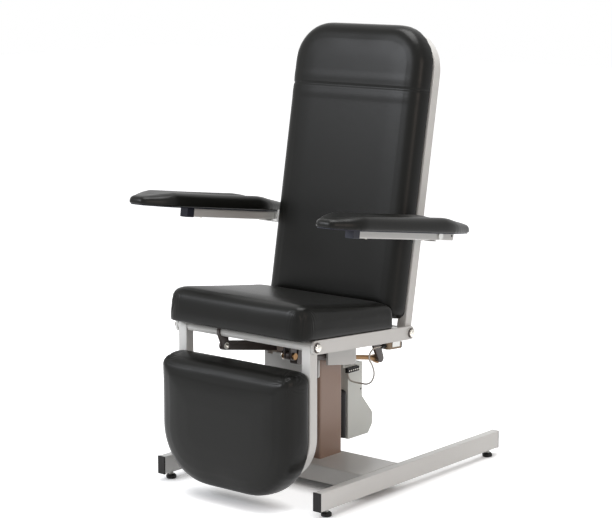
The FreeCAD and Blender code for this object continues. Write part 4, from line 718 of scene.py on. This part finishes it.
# Arm brackets
# A steel plate on each upright of the back, with the boss of the arm's pivot and the ledge that the
# arm rests on, welded and powder coated with the frame.
PLATE = ((234.8, -43.0, -15.8), (244.8, 15.0, 20.0))
LEDGE = ((234.8, -42.5, -15.9), (304.3, -14.5, -12.9))
BOSS_RADIUS = 12.0
BOSS_END = 279.1
for side, reach in (("left", 1), ("right", -1)):
    parts = []
    for part, (low, high), rounding in (("plate", PLATE, 2.0), ("ledge", LEDGE, 0.8)):
        ends = sorted((reach * low[0], reach * high[0]))
        parts.append(block_piece(f"arm_bracket_{part}_{side}", (ends[0], *low[1:]),
                                 (ends[1], *high[1:]), rounding, grey_coat, arm_frame))
    parts.append(turned_piece(f"arm_bracket_boss_{side}",
                              [(BOSS_RADIUS, 0), (BOSS_RADIUS, BOSS_END - PLATE[0][0])], grey_coat,
                              arm_frame @ sideways(reach * PLATE[0][0] * MM, 0, 0, reach), 0.8))
    bpy.ops.object.select_all(action="DESELECT")
    for part in parts:
        part.select_set(True)
    bpy.context.view_layer.objects.active = parts[0]
    bpy.ops.object.join()
    bracket = name_piece(f"arm_bracket_{side}_weldment")
    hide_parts(f"arm_bracket_{side}")
    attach(bracket, "back")

# Arm fittings
# Two nickel screws under each tube, which hold its board, and a small plugged hole near its rear
# end. The screws have low domed heads.
TUBE_MIDDLE = 292.0
TUBE_BELLY = -12.4
SCREW_RINGS = [(4.4, -0.2), (4.4, 1.4), (3.2, 2.6), (1.6, 2.9)]
PLUG_RINGS = [(3.2, -0.5), (3.2, 0.5), (2.4, 0.8)]
PLUG_PLACE = (304.5, 57, 1)
for side, reach in (("left", 1), ("right", -1)):
    for number, y in enumerate((-318.0, -62.0)):
        place = arm_frame @ Matrix.Translation((reach * TUBE_MIDDLE * MM, y * MM, TUBE_BELLY * MM))
        screw = turned_piece(f"arm_screw_{side}_{number + 1}", SCREW_RINGS, nickel,
                             place @ Matrix.Rotation(math.pi, 4, "X"), sides=24)
        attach(screw, f"arm_{side}")
    x, y, z = (value * MM for value in PLUG_PLACE)
    plug = turned_piece(f"arm_tube_plug_{side}", PLUG_RINGS, black_pe,
                        arm_frame @ sideways(reach * x, y, z, reach), sides=24)
    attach(plug, f"arm_{side}")

# Studio
# A white sweep that runs to the edge of the picture, with soft boxes above and beside the camera.
# It glows for the camera and in reflections only, and less where something stands close over it: a
# painted contact shadow.
floor_mesh = bpy.data.meshes.new("studio_floor")
FLOOR_REACH = 14.0
floor_mesh.from_pydata([(-FLOOR_REACH, -FLOOR_REACH, 0), (FLOOR_REACH, -FLOOR_REACH, 0),
                        (FLOOR_REACH, FLOOR_REACH, 0), (-FLOOR_REACH, FLOOR_REACH, 0)], [],
                       [(0, 1, 2, 3)])
floor = bpy.data.objects.new("studio_floor", floor_mesh)
bpy.context.collection.objects.link(floor)
paper, tree, output, coords = finish_material("white_paper_sweep")
sees = add_node(tree, "ShaderNodeLightPath")
seen = add_node(tree, "ShaderNodeMath", {0: sees.outputs["Is Camera Ray"],
                                         1: sees.outputs["Is Glossy Ray"]}, operation="MAXIMUM")
# Painted contact shadow: the glow falls with the square of the ambient occlusion near objects.
open_sky = add_node(tree, "ShaderNodeAmbientOcclusion", {"Distance": 0.06})
painted_contact_shadow = add_node(tree, "ShaderNodeMath", {0: open_sky.outputs["AO"], 1: 2.0}, operation="POWER")
lift = add_node(tree, "ShaderNodeMath", {0: seen.outputs["Value"], 1: painted_contact_shadow.outputs["Value"]},
                operation="MULTIPLY")
shader = add_node(tree, "ShaderNodeBsdfPrincipled", {
    "Base Color": srgb("f2f2f2"), "Roughness": 0.7, "Emission Color": srgb("dedede"),
    "Emission Strength": lift.outputs["Value"]})
tree.links.new(shader.outputs["BSDF"], output.inputs["Surface"])
floor.data.materials.append(paper)

world = bpy.data.worlds.new("studio")
bpy.context.scene.world = world
world.use_nodes = True
tree = world.node_tree
tree.nodes.clear()
output = add_node(tree, "ShaderNodeOutputWorld")
sees = add_node(tree, "ShaderNodeLightPath")
clear = add_node(tree, "ShaderNodeMath", {0: sees.outputs["Is Camera Ray"],
                                          1: sees.outputs["Is Transmission Ray"]},
                 operation="MAXIMUM")
plain = add_node(tree, "ShaderNodeMath", {0: clear.outputs["Value"],
                                          1: sees.outputs["Is Glossy Ray"]}, operation="MAXIMUM")
ambient = add_node(tree, "ShaderNodeBackground", {"Color": srgb("f4f5f7"), "Strength": 0.42})
white = add_node(tree, "ShaderNodeBackground", {"Color": srgb("ffffff"), "Strength": 1.0})
both = add_node(tree, "ShaderNodeMixShader", {"Fac": plain.outputs["Value"]})
tree.links.new(ambient.outputs["Background"], both.inputs[1])
tree.links.new(white.outputs["Background"], both.inputs[2])
tree.links.new(both.outputs["Shader"], output.inputs["Surface"])


def soft_box(name, place, aim, size, power, code):
    """A rectangular lamp of a size in metres, aimed at a point."""
    data = bpy.data.lights.new(name, "AREA")
    data.color = srgb(code)[:3]
    data.shape = "RECTANGLE"
    data.size = size[0]
    data.size_y = size[1]
    data.energy = power
    lamp = bpy.data.objects.new(name, data)
    bpy.context.collection.objects.link(lamp)
    lamp.location = place
    lamp.rotation_euler = (Vector(aim) - Vector(place)).to_track_quat("-Z", "Y").to_euler()


soft_box("key_box", (-1.8, -3.4, 2.6), (0, -0.1, 0.6), (1.8, 1.4), 88.0, "f6f9ff")
soft_box("fill_box", (3.6, -1.2, 1.9), (0, 0, 0.6), (1.6, 1.6), 24.0, "ffeadc")
soft_box("top_box", (0.1, 0.1, 3.6), (0, 0, 0.5), (1.8, 1.8), 78.0, "ffffff")
bpy.context.scene.view_settings.view_transform = "Standard"
